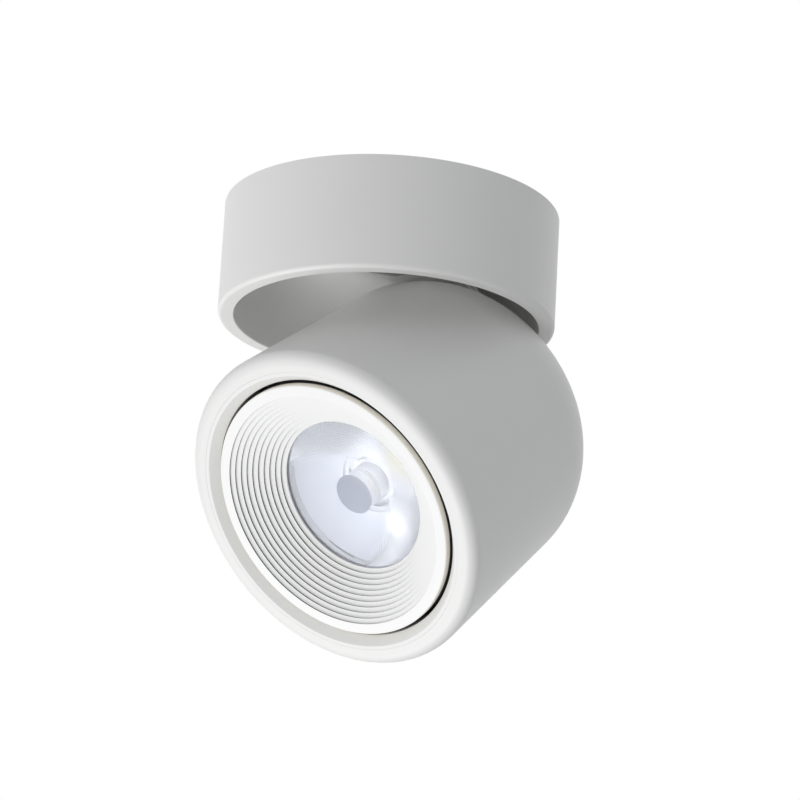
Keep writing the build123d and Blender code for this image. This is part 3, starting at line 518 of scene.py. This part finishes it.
def lathe(name, outline, closed=True, segments=SEGMENTS, wave=None):
    """A mesh turned from an outline; wave(angle, radius, height) may change a radius."""
    mesh = bpy.data.meshes.new(name)
    points, faces = [], []
    count = len(outline)
    for turn in range(segments):
        angle = 2 * math.pi * turn / segments
        for radius, height in outline:
            if wave:
                radius = wave(angle, radius, height)
            points.append((radius * math.cos(angle), radius * math.sin(angle), height))
    for turn in range(segments):
        first, second = turn * count, (turn + 1) % segments * count
        for i in range(count if closed else count - 1):
            j = (i + 1) % count
            faces.append((first + i, first + j, second + j, second + i))
    mesh.from_pydata(points, [], faces)
    tidy_mesh(mesh)
    return mesh


def arc(centre, radius, start, stop, steps):
    """Points of an arc in the outline's plane; angles in degrees from the radius axis."""
    points = []
    for i in range(steps + 1):
        angle = math.radians(start + (stop - start) * i / steps)
        points.append((centre[0] + radius * math.cos(angle), centre[1] + radius * math.sin(angle)))
    return points


print("lathe segments:", SEGMENTS)

# %% [markdown]
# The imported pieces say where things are: the span of a node is its lowest and highest place
# along the head's axis and its smallest and largest radius.

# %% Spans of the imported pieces
def head_span(name):
    """Lowest and highest height, and smallest and largest radius, of a node on the head."""
    heights, radii = [], []
    for vertex in nodes[name].data.vertices:
        arm = vertex.co - tilt_centre
        height = arm.dot(head_back)
        heights.append(height)
        radii.append((arm - head_back * height).length)
    return min(heights), max(heights), min(radii), max(radii)


trim_face, hook_end, window_radius, _ = head_span("baffle_trim")
lens_front, lens_tail, _, lens_radius = head_span("lens")
sink_front, _, _, _ = head_span("heat_sink")
print("trim face:", round(trim_face / MM, 2), "mm")
print("window radius:", round(window_radius / MM, 2), "mm")

# %% [markdown]
# ### The stepped baffle
# The baffle is a moulded white ring that keeps the bright lens out of the eye. Ten sloping
# treads run down to the lens. Under the edge of each tread is a fine groove, and painted shade
# inside it makes it show as a dark line. A list of forty points would do, but the treads follow
# a rule, so only the section behind them is listed here, and Geometry Nodes works the treads
# out. The section also carries two marks for the material: painted shade on the deep part of
# the gap round it, and a warm colour on the outer wall.

# %% Section of the baffle
STEP_COUNT = 10
STEP_WIDTH = 1.28 * MM
STEP_RISER = 0.5 * MM
STEP_FALL = 0.57 * MM
STEP_UNDERCUT = 0.12 * MM
GROOVE_DEPTH = 0.7 * MM
GROOVE_LIP = 0.04 * MM
TRIM_RADIUS = 39.85 * MM
TRIM_EDGE = 0.5 * MM
TRIM_SKIRT = 1.5 * MM
TRIM_WALL = 1.8 * MM
TRIM_LIP = 0.4 * MM
BARE_BAND = 1.95 * MM
BAND_END = 0.03 * MM
EDGE_STEPS = 6
step_depth = STEP_RISER + STEP_FALL
steps_radius = window_radius + STEP_COUNT * STEP_WIDTH
steps_end = trim_face + STEP_COUNT * step_depth


def trim_section():
    """The section behind the treads, from the window out to the first tread, with its marks."""
    skirt = TRIM_RADIUS - TRIM_SKIRT
    shift = TRIM_WALL * math.hypot(1, STEP_WIDTH / step_depth)
    lip_back = steps_end + TRIM_LIP
    lip_outer = window_radius + shift - TRIM_LIP * STEP_WIDTH / step_depth
    skirt_root = trim_face + (steps_radius + shift - skirt) * step_depth / STEP_WIDTH
    last_tread = (window_radius + STEP_WIDTH + STEP_UNDERCUT, steps_end - STEP_FALL)
    edge = arc((TRIM_RADIUS - TRIM_EDGE, trim_face + TRIM_EDGE), TRIM_EDGE, 0, -90, EDGE_STEPS)
    points = [
        last_tread,
        (window_radius, steps_end),
        (window_radius, lip_back),
        (lip_outer, lip_back),
        (skirt, skirt_root),
        (skirt, sink_front),
        (TRIM_RADIUS, sink_front),
        (TRIM_RADIUS, trim_face + BARE_BAND + BAND_END),
        (TRIM_RADIUS, trim_face + BARE_BAND),
        *edge,
        (steps_radius, trim_face),
    ]
    outside = [radius > TRIM_RADIUS - TRIM_EDGE / 4 for radius, _ in points]
    deep = [height > trim_face + BARE_BAND + BAND_END / 2 for _, height in points]
    # side marks the outer wall for its warm colour; shade marks the deep wall of the gap, where shade is painted
    # near black.
    side = [float(out and not down) for out, down in zip(outside, deep)]
    shade = [float(out and down) for out, down in zip(outside, deep)]
    return points, side, shade


section, side_marks, shade_marks = trim_section()
print("section points:", len(section))

# %% [markdown]
# A tree of Geometry Nodes is easier to read when each bundle of nodes is a small function that
# returns a socket: a vector, a box, points at their places, or several parts as one.

# %% Tools for the tree
def tree_inputs(tree, rows):
    for name, kind, value in rows:
        socket = tree.interface.new_socket(name=name, in_out="INPUT", socket_type=kind)
        if value is not None:
            socket.default_value = value


def vector_node(tree, **parts):
    """A vector made of sockets for X, Y and Z; a part that is left out stays 0."""
    node = tree.nodes.new("ShaderNodeCombineXYZ")
    for axis, socket in parts.items():
        tree.links.new(socket, node.inputs[axis])
    return node.outputs[0]


def box_node(tree, x, y, z):
    """A box round the origin."""
    node = tree.nodes.new("GeometryNodeMeshCube")
    tree.links.new(vector_node(tree, X=x, Y=y, Z=z), node.inputs["Size"])
    return node.outputs["Mesh"]


def placed_points(tree, geometry, position):
    """Each point of a geometry at a place of its own."""
    node = tree.nodes.new("GeometryNodeSetPosition")
    tree.links.new(geometry, node.inputs["Geometry"])
    tree.links.new(position, node.inputs["Position"])
    return node.outputs[0]


def shifted(tree, geometry, by, scale=(1, 1, 1)):
    """A whole geometry, scaled and then moved."""
    node = tree.nodes.new("GeometryNodeTransform")
    node.inputs["Scale"].default_value = scale
    tree.links.new(geometry, node.inputs["Geometry"])
    tree.links.new(by, node.inputs["Translation"])
    return node.outputs[0]


def joined_parts(tree, *parts):
    """Several parts as one geometry."""
    node = tree.nodes.new("GeometryNodeJoinGeometry")
    for part in parts:
        tree.links.new(part, node.inputs[0])
    return node.outputs[0]


print("tree tools ready")

# %% [markdown]
# A step of the baffle has four points: the edge of the tread before it, the two corners at the
# bottom of its groove, and the foot of its riser. One line of points holds all the steps. The
# index of a point, divided by four, says which step it belongs to, and the remainder says which
# corner.

# %% Treads by their index
STEP_POINTS = 4.0


def tread_points(tree, ins):
    """The points of all the treads, with the inside of the grooves marked for painted shade."""
    line = tree.nodes.new("GeometryNodeMeshLine")
    tree.links.new(math_node(tree, "MULTIPLY", ins["Steps"], STEP_POINTS), line.inputs["Count"])
    index = tree.nodes.new("GeometryNodeInputIndex").outputs[0]
    step = math_node(tree, "FLOOR", math_node(tree, "DIVIDE", index, STEP_POINTS))
    corner = math_node(tree, "SUBTRACT", index, math_node(tree, "MULTIPLY", step, STEP_POINTS))
    past_lip = math_node(tree, "GREATER_THAN", corner, 0.5)
    past_riser = math_node(tree, "GREATER_THAN", corner, 1.5)
    at_tread = math_node(tree, "GREATER_THAN", corner, 2.5)
    in_groove = math_node(tree, "SUBTRACT", past_lip, at_tread)

    inwards = math_node(tree, "MULTIPLY", step, ins["Width"])
    groove = math_node(tree, "MULTIPLY", in_groove, ins["Groove Depth"])
    undercut = math_node(tree, "MULTIPLY", at_tread, ins["Undercut"])
    radius = math_node(tree, "SUBTRACT", ins["Start Radius"], inwards)
    radius = math_node(tree, "ADD", radius, groove)
    radius = math_node(tree, "ADD", radius, undercut)

    depth = math_node(tree, "ADD", ins["Riser"], ins["Fall"])
    lip = math_node(tree, "MULTIPLY", past_lip, ins["Groove Lip"])
    rest_of_riser = math_node(tree, "SUBTRACT", ins["Riser"], ins["Groove Lip"])
    riser = math_node(tree, "MULTIPLY", past_riser, rest_of_riser)
    height = math_node(tree, "ADD", ins["Start Height"], math_node(tree, "MULTIPLY", step, depth))
    height = math_node(tree, "ADD", height, lip)
    height = math_node(tree, "ADD", height, riser)

    placed = placed_points(tree, line.outputs["Mesh"], vector_node(tree, X=radius, Y=height))
    # The groove mark tells the material where to paint shade into the grooves.
    marked = tree.nodes.new("GeometryNodeStoreNamedAttribute")
    marked.data_type = "FLOAT"
    marked.domain = "POINT"
    marked.inputs["Name"].default_value = "groove"
    tree.links.new(placed, marked.inputs["Geometry"])
    tree.links.new(in_groove, marked.inputs["Value"])
    return marked.outputs[0]


print("corners of a step:", int(STEP_POINTS))

# %% [markdown]
# The treads and the section behind them meet end to end, so welding makes them one closed
# outline. Curve to Mesh then sweeps it round a circle and keeps the marks of its points.

# %% The sweep
OUTLINE_WELD = 1e-6


def swept_outline(tree, ins, treads):
    """The closed outline of the baffle, swept round the axis."""
    welded = tree.nodes.new("GeometryNodeMergeByDistance")
    welded.inputs["Distance"].default_value = OUTLINE_WELD
    tree.links.new(joined_parts(tree, ins["Section"], treads), welded.inputs["Geometry"])
    inwards = vector_node(tree, X=math_node(tree, "MULTIPLY", ins["Sweep Radius"], -1.0))
    # A circle carries its profile with Y pointing down, so heights are turned over first.
    outline = shifted(tree, welded.outputs[0], inwards, scale=(1, -1, 1))
    profile = tree.nodes.new("GeometryNodeMeshToCurve")
    tree.links.new(outline, profile.inputs["Mesh"])
    ring = tree.nodes.new("GeometryNodeCurvePrimitiveCircle")
    tree.links.new(ins["Segments"], ring.inputs["Resolution"])
    tree.links.new(ins["Sweep Radius"], ring.inputs["Radius"])
    sweep = tree.nodes.new("GeometryNodeCurveToMesh")
    tree.links.new(ring.outputs["Curve"], sweep.inputs["Curve"])
    tree.links.new(profile.outputs["Curve"], sweep.inputs["Profile Curve"])
    return sweep.outputs["Mesh"]


print("welds under", OUTLINE_WELD / MM, "mm")

# %% [markdown]
# Behind the skirt stand the snap hooks that hold the baffle in the head. A hook is a flat post
# with a barb, and Instance on Points repeats it round the axis.

# %% The hooks
def hook_stations(tree, ins):
    """The points where the hooks stand, and the turn of each about the axis."""
    stations = tree.nodes.new("GeometryNodeMeshLine")
    tree.links.new(ins["Hooks"], stations.inputs["Count"])
    index = tree.nodes.new("GeometryNodeInputIndex").outputs[0]
    turn = math_node(tree, "MULTIPLY", index, math_node(tree, "DIVIDE", 2 * math.pi, ins["Hooks"]))
    turn = math_node(tree, "ADD", turn, math.pi / 2)
    x = math_node(tree, "MULTIPLY", math_node(tree, "COSINE", turn), ins["Hook Radius"])
    y = math_node(tree, "MULTIPLY", math_node(tree, "SINE", turn), ins["Hook Radius"])
    middle = math_node(tree, "MULTIPLY", ins["Hook Length"], 0.5)
    z = math_node(tree, "ADD", ins["Hook Foot"], middle)
    return placed_points(tree, stations.outputs["Mesh"], vector_node(tree, X=x, Y=y, Z=z)), turn


def hook_ring(tree, ins):
    """All the hooks of the baffle, as instances of one."""
    post = box_node(tree, ins["Hook Wall"], ins["Hook Width"], ins["Hook Length"])
    thickness = math_node(tree, "ADD", ins["Hook Wall"], ins["Hook Barb"])
    barb = box_node(tree, thickness, ins["Hook Width"], ins["Hook Head"])
    out = math_node(tree, "MULTIPLY", ins["Hook Barb"], 0.5)
    reach = math_node(tree, "SUBTRACT", ins["Hook Length"], ins["Hook Head"])
    along = math_node(tree, "MULTIPLY", reach, 0.5)
    hook = joined_parts(tree, post, shifted(tree, barb, vector_node(tree, X=out, Z=along)))
    points, turn = hook_stations(tree, ins)
    hooks = tree.nodes.new("GeometryNodeInstanceOnPoints")
    tree.links.new(points, hooks.inputs["Points"])
    tree.links.new(hook, hooks.inputs["Instance"])
    tree.links.new(vector_node(tree, Z=turn), hooks.inputs["Rotation"])
    return hooks.outputs["Instances"]


print("hook tools ready")

# %% [markdown]
# The whole tree has a named input for each size. It ends in Realize Instances and Set Material,
# and its result is taken as a plain mesh, so no modifier is left on the piece.

# %% Geometry Nodes tree of the baffle
def stepped_sweep_tree():
    """Treads joined to the given section and swept, with hooks behind them."""
    tree = bpy.data.node_groups.new("stepped_sweep", "GeometryNodeTree")
    tree_inputs(tree, [
        ("Section", "NodeSocketGeometry", None),
        ("Steps", "NodeSocketInt", 1),
        ("Width", FLOAT, 1.0),
        ("Riser", FLOAT, 1.0),
        ("Fall", FLOAT, 1.0),
        ("Undercut", FLOAT, 0.0),
        ("Groove Depth", FLOAT, 0.0),
        ("Groove Lip", FLOAT, 0.0),
        ("Start Radius", FLOAT, 1.0),
        ("Start Height", FLOAT, 0.0),
        ("Sweep Radius", FLOAT, 1.0),
        ("Segments", "NodeSocketInt", 64),
        ("Hooks", "NodeSocketInt", 3),
        ("Hook Radius", FLOAT, 1.0),
        ("Hook Foot", FLOAT, 0.0),
        ("Hook Length", FLOAT, 1.0),
        ("Hook Width", FLOAT, 1.0),
        ("Hook Wall", FLOAT, 1.0),
        ("Hook Barb", FLOAT, 1.0),
        ("Hook Head", FLOAT, 1.0),
        ("Material", "NodeSocketMaterial", None),
    ])
    tree.interface.new_socket(name="Geometry", in_out="OUTPUT", socket_type="NodeSocketGeometry")
    ins = tree.nodes.new("NodeGroupInput").outputs
    outs = tree.nodes.new("NodeGroupOutput")
    ring = swept_outline(tree, ins, tread_points(tree, ins))
    real = tree.nodes.new("GeometryNodeRealizeInstances")
    tree.links.new(joined_parts(tree, ring, hook_ring(tree, ins)), real.inputs["Geometry"])
    painted = tree.nodes.new("GeometryNodeSetMaterial")
    tree.links.new(real.outputs[0], painted.inputs["Geometry"])
    tree.links.new(ins["Material"], painted.inputs["Material"])
    tree.links.new(painted.outputs[0], outs.inputs["Geometry"])
    return tree


def set_inputs(modifier, values):
    """Set a Geometry Nodes modifier's inputs by the names of its sockets."""
    for socket in modifier.node_group.interface.items_tree:
        if socket.in_out == "INPUT" and socket.name in values:
            modifier[socket.identifier] = values.pop(socket.name)
    if values:
        raise ValueError(f"no such inputs: {sorted(values)}")


def baked_mesh(source, tree, values, name):
    """Run the tree on an object and return the result as a plain mesh."""
    modifier = source.modifiers.new(tree.name, "NODES")
    modifier.node_group = tree
    set_inputs(modifier, values)
    bpy.context.view_layer.update()
    shown = source.evaluated_get(bpy.context.evaluated_depsgraph_get())
    mesh = bpy.data.meshes.new_from_object(shown)
    mesh.name = name
    bpy.data.objects.remove(source)
    return mesh


STEPPED_SWEEP = stepped_sweep_tree()
print("tree:", STEPPED_SWEEP.name, "with", len(STEPPED_SWEEP.nodes), "nodes")

# %% [markdown]
# The white plastic of the baffle reads the two marks. Into the grooves and the deep part of the
# gap round the baffle, shade is painted as a near-black colour. The outer wall is coloured a
# warm ivory.

# %% Material of the baffle
# Painted shade: the near-black colour of the grooves and the deep gap.
GROOVE_SHADE = (0.03, 0.031, 0.036)
# A warm ivory for the outer wall above the deep gap.
OUTER_WALL_IVORY = (0.9, 0.85, 0.76)
MARK_EDGE = 2.5
FIRST_COLOR, SECOND_COLOR, MIXED_COLOR = 6, 7, 2


def mix_by_mark(tree, mark, base, other):
    """A colour that soon changes from one socket to a fixed colour as an attribute rises."""
    # A Mix node has sockets of one name for each kind of data, so the colours go by number.
    reader = tree.nodes.new("ShaderNodeAttribute")
    reader.attribute_name = mark
    blend = tree.nodes.new("ShaderNodeMix")
    blend.data_type = "RGBA"
    soon = math_node(tree, "MULTIPLY", reader.outputs["Fac"], MARK_EDGE)
    tree.links.new(soon, blend.inputs["Factor"])
    tree.links.new(base, blend.inputs[FIRST_COLOR])
    blend.inputs[SECOND_COLOR].default_value = (*other, 1)
    return blend.outputs[MIXED_COLOR]


def mark_baffle_material(material):
    tree = material.node_tree
    shader = tree.nodes["Principled BSDF"]
    base = shader.inputs["Base Color"].links[0].from_socket
    base = mix_by_mark(tree, "side", base, OUTER_WALL_IVORY)
    # Shade is painted near black where the groove mark is set: in the grooves and the deep gap.
    base = mix_by_mark(tree, "groove", base, GROOVE_SHADE)
    tree.links.new(base, shader.inputs["Base Color"])


FINISHES["baffle_plastic"] = new_finish(
    "baffle_plastic", SKIN, (0.95, 0.95, 0.94), 0.5, 2e-6, grain_scale=3000.0
)
mark_baffle_material(FINISHES["baffle_plastic"])
print("baffle material ready")

# %% [markdown]
# Now the tree runs on the section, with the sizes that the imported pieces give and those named
# above. The sweep's own radius only says where the circle runs; it doesn't change the baffle.

# %% The baffle
SWEEP_RADIUS = 30 * MM
HOOK_COUNT = 3
HOOK_SET_IN = 0.4 * MM
HOOK_WIDTH = 8.0 * MM
HOOK_BARB = 1.0 * MM
HOOK_HEAD = 1.5 * MM


def baffle_source():
    """The section as an object of points and edges, with its marks."""
    mesh = bpy.data.meshes.new("baffle_section")
    edges = [(i, i + 1) for i in range(len(section) - 1)]
    mesh.from_pydata([(radius, height, 0) for radius, height in section], edges, [])
    # The section's shade marks are stored under the groove mark, where shade is painted near black.
    for mark, values in (("side", side_marks), ("groove", shade_marks)):
        mesh.attributes.new(mark, "FLOAT", "POINT").data.foreach_set("value", values)
    source = bpy.data.objects.new("baffle_section", mesh)
    bpy.context.scene.collection.objects.link(source)
    return source


def baffle_mesh():
    baked = baked_mesh(baffle_source(), STEPPED_SWEEP, {
        "Steps": STEP_COUNT,
        "Width": STEP_WIDTH,
        "Riser": STEP_RISER,
        "Fall": STEP_FALL,
        "Undercut": STEP_UNDERCUT,
        "Groove Depth": GROOVE_DEPTH,
        "Groove Lip": GROOVE_LIP,
        "Start Radius": steps_radius,
        "Start Height": trim_face,
        "Sweep Radius": SWEEP_RADIUS,
        "Segments": SEGMENTS,
        "Hooks": HOOK_COUNT,
        "Hook Radius": TRIM_RADIUS - TRIM_SKIRT / 2,
        "Hook Foot": sink_front,
        "Hook Length": hook_end - sink_front,
        "Hook Width": HOOK_WIDTH,
        "Hook Wall": TRIM_SKIRT - HOOK_SET_IN,
        "Hook Barb": HOOK_BARB,
        "Hook Head": HOOK_HEAD,
        "Material": FINISHES["baffle_plastic"],
    }, "baffle")
    tidy_mesh(baked)
    return baked


baffle = put_on_head(baffle_mesh(), "baffle", "baffle_trim")
coat(baffle, FINISHES["baffle_plastic"])

# %% [markdown]
# ### The ring inside the front edge
# The ring is pressed into the mouth of the head, flush with its front. It has a narrow flat
# rim, then slopes down to the gap round the baffle. It is a plain turned piece, so the lathe
# makes it, with a small round where the rim meets the slope.

# %% The front ring
bezel_front, bezel_seat, bezel_bore, bezel_radius = head_span("front_bezel")
shell_front, _, _, _ = head_span("head_shell")
BEZEL_RIM = 1.0 * MM
BEZEL_SLOPE_END = 2.5 * MM
BEZEL_FLUSH = 0.02 * MM
RIM_ROUND = 0.25 * MM
RIM_STEPS = 4


def add_bezel():
    level = shell_front + BEZEL_FLUSH
    corner = (bezel_radius - BEZEL_RIM, level + RIM_ROUND)
    outline = [
        (bezel_radius, bezel_seat),
        (bezel_radius, level),
        *arc(corner, RIM_ROUND, -90, -135, RIM_STEPS),
        (bezel_bore, bezel_front + BEZEL_SLOPE_END),
        (bezel_bore, bezel_seat),
    ]
    return put_on_head(lathe("bezel", outline), "bezel", "front_bezel")


bezel = add_bezel()
print("bezel faces:", len(bezel.data.polygons))

# %% [markdown]
# ### The lens
# The lens is a cone of clear acrylic with a flat front, a hollow foot over the light source and
# a shallow arc for a flank. The arc is given by its two ends and its bulge, as on a drawing, and
# the centre is worked out from them.

# %% Section of the lens
LENS_FLANGE = 1.8 * MM
LENS_STEP = 1.5 * MM
LENS_TAIL_RADIUS = 7.5 * MM
LENS_BULGE = 0.9 * MM
CAVITY_RADIUS = 6.0 * MM
CAVITY_DEPTH = 8.0 * MM
CAVITY_CROWN = 1.2 * MM
DISC_RADIUS = 6.2 * MM
DISC_DEPTH = 0.15 * MM
FLANK_STEPS = 40
CROWN_STEPS = 12
body_radius = lens_radius - LENS_STEP
body_top = lens_front + LENS_FLANGE


def flank_circle():
    """Centre, radius, first and last angle of the arc of the flank, from its ends and bulge."""
    first = Vector((body_radius, body_top))
    last = Vector((LENS_TAIL_RADIUS, lens_tail))
    belly = (first + last) / 2 + Vector((LENS_BULGE, LENS_BULGE))
    chord = last - first
    height = abs(chord.cross(belly - first)) / chord.length
    foot = (belly - first).dot(chord) / chord.length
    outwards = Vector((chord.y, -chord.x)).normalized()
    # The centre is on the chord's middle line; solve for equal distance to belly and ends.
    half = chord.length / 2
    offset = ((foot - half) ** 2 + height * height - half * half) / (2 * height)
    centre = (first + last) / 2 + outwards * offset
    angles = [math.degrees(math.atan2(p.y - centre.y, p.x - centre.x)) for p in (first, last)]
    return centre, (first - centre).length, angles[0], angles[1]


flank = flank_circle()
print("flank radius:", round(flank[1] / MM, 2), "mm, from", [round(a, 1) for a in flank[2:]])

# %% [markdown]
# The flank has fine flutes, which break up the picture of the light source, the foot is rough,
# and the middle of the front is frosted. The lathe bends the flutes into the flank as it turns.
# Two marks carry the rest to the material: how rough the surface is, and where the frosted disc
# lies.

# %% The lens
TOLERANCE = 1e-6
FLUTES = 180
FLUTE_DEPTH = 0.04 * MM
LENS_SEGMENTS = 4 * FLUTES
POLISHED, SATIN, HOLLOW, FROSTED = 0.02, 0.15, 0.5, 0.75


def flute(angle, radius, height):
    """Shallow flutes on the flank, which run out towards both of its ends."""
    along = (height - body_top) / (lens_tail - body_top)
    if radius <= CAVITY_RADIUS or not 0 < along < 1:
        return radius
    return radius - FLUTE_DEPTH * math.sin(math.pi * along) * (0.5 + 0.5 * math.cos(FLUTES * angle))


def finish_of(radius, height):
    """Roughness of the lens at a point of its section, and 1 on the frosted disc."""
    if abs(height - lens_front - DISC_DEPTH) < TOLERANCE and radius < DISC_RADIUS + TOLERANCE:
        return FROSTED, 1.0
    if height < body_top + TOLERANCE:
        return POLISHED, 0.0
    if radius < CAVITY_RADIUS + TOLERANCE:
        return HOLLOW, 0.0
    return SATIN, 0.0


def lens_outline():
    cavity_top = lens_tail - CAVITY_DEPTH
    crown = (CAVITY_RADIUS**2 + CAVITY_CROWN**2) / (2 * CAVITY_CROWN)
    crown_half = math.degrees(math.asin(CAVITY_RADIUS / crown))
    crown_centre = (0.0, cavity_top + CAVITY_CROWN - crown)
    centre, radius, start, stop = flank
    return [
        (0.0, lens_front + DISC_DEPTH),
        (DISC_RADIUS, lens_front + DISC_DEPTH),
        (DISC_RADIUS, lens_front),
        (lens_radius, lens_front),
        (lens_radius, body_top),
        *arc(centre, radius, start, stop, FLANK_STEPS),
        (CAVITY_RADIUS, lens_tail),
        *arc(crown_centre, crown, 90 - crown_half, 90, CROWN_STEPS),
    ]


def lens_mesh():
    """The lens with its two marks, and its flank and foot on a second material."""
    mesh = lathe("lens_body", lens_outline(), closed=False, segments=LENS_SEGMENTS, wave=flute)
    rough = mesh.attributes.new("frost", "FLOAT", "POINT")
    disc = mesh.attributes.new("disc", "FLOAT", "POINT")
    for i, vertex in enumerate(mesh.vertices):
        values = finish_of(math.hypot(vertex.co.x, vertex.co.y), vertex.co.z)
        rough.data[i].value, disc.data[i].value = values
    behind = lens_front + 2 * DISC_DEPTH
    for face in mesh.polygons:
        face.material_index = int(any(mesh.vertices[i].co.z > behind for i in face.vertices))
    return mesh


lens = put_on_head(lens_mesh(), "lens_body", "lens")

# %% [markdown]
# Acrylic this thick has a cool tint. The front also scatters part of the light, which makes it
# milky, and the frosted disc is greyer than the rest. The flank and the foot stay clear, so
# they show through the front as soft bright shapes. Glass stops the straight rays of the lamps,
# so a ray that looks for a lamp passes an open way instead, and what lies behind is lit.

# %% Material of the lens
LENS_TINT = (0.875, 0.9, 0.965)
DISC_TINT = (0.57, 0.58, 0.64)
LAMP_SHARE = 0.82
FRONT_CLEARNESS = 0.88
FLANK_CLEARNESS = 1.0
SMUDGES_PER_METRE = 120.0


def let_lamps_through(tree, shader):
    """Let the lamps' light pass the lens straight, so that what lies behind it is lit."""
    path = tree.nodes.new("ShaderNodeLightPath")
    open_way = tree.nodes.new("ShaderNodeBsdfTransparent")
    open_way.inputs["Color"].default_value = (LAMP_SHARE, LAMP_SHARE, LAMP_SHARE, 1)
    mix = tree.nodes.new("ShaderNodeMixShader")
    tree.links.new(path.outputs["Is Shadow Ray"], mix.inputs["Fac"])
    tree.links.new(shader.outputs[0], mix.inputs[1])
    tree.links.new(open_way.outputs[0], mix.inputs[2])
    tree.links.new(mix.outputs[0], tree.nodes["Material Output"].inputs["Surface"])


def new_lens_acrylic(name, clearness):
    """Tinted acrylic that reads its roughness and the frosted disc from the marks."""
    material = new_acrylic(name)
    tree = material.node_tree
    shader = tree.nodes["Principled BSDF"]
    let_lamps_through(tree, shader)
    shader.inputs["Transmission Weight"].default_value = clearness
    clear = tree.nodes.new("ShaderNodeRGB")
    clear.outputs[0].default_value = (*LENS_TINT, 1)
    tint = mix_by_mark(tree, "disc", clear.outputs[0], DISC_TINT)
    tree.links.new(tint, shader.inputs["Base Color"])
    reader = tree.nodes.new("ShaderNodeAttribute")
    reader.attribute_name = "frost"
    where = tree.nodes.new("ShaderNodeTexCoord").outputs["Object"]
    smudge = noise_node(tree, where, SMUDGES_PER_METRE, 3.0)
    rough = math_node(tree, "MULTIPLY", math_node(tree, "ADD", smudge, 1.0), reader.outputs["Fac"])
    tree.links.new(rough, shader.inputs["Roughness"])
    return material


front_acrylic = new_lens_acrylic("lens_front", FRONT_CLEARNESS)
flank_acrylic = new_lens_acrylic("lens_flank", FLANK_CLEARNESS)
coat(lens, front_acrylic, flank_acrylic)
print("lens materials:", [material.name for material in lens.data.materials])

# %% [markdown]
# A thin white sleeve hugs the flank of the lens inside its holder, closes the holder's windows
# and throws back the light that leaves the flank, which is why the lens looks milky from
# outside. It follows the same arc as the flank, a little wider, so the two keep one gap.

# %% The sleeve behind the lens
SLEEVE_GAP = 0.15 * MM
SLEEVE_WALL = 0.25 * MM
SLEEVE_TRIM = 3.0


def add_sleeve():
    centre, radius, start, stop = flank
    first, last = start + SLEEVE_TRIM, stop - SLEEVE_TRIM
    inner = arc(centre, radius + SLEEVE_GAP, first, last, FLANK_STEPS)
    outer = arc(centre, radius + SLEEVE_GAP + SLEEVE_WALL, last, first, FLANK_STEPS)
    mesh = lathe("lens_sleeve", inner + outer)
    mesh.transform(onto_head)
    sleeve = bpy.data.objects.new("lens_sleeve", mesh)
    bpy.context.scene.collection.objects.link(sleeve)
    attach(sleeve, "head")
    sleeve.data.materials.append(FINISHES["reflector_film"])
    return sleeve


sleeve = add_sleeve()
print("sleeve faces:", len(sleeve.data.polygons))
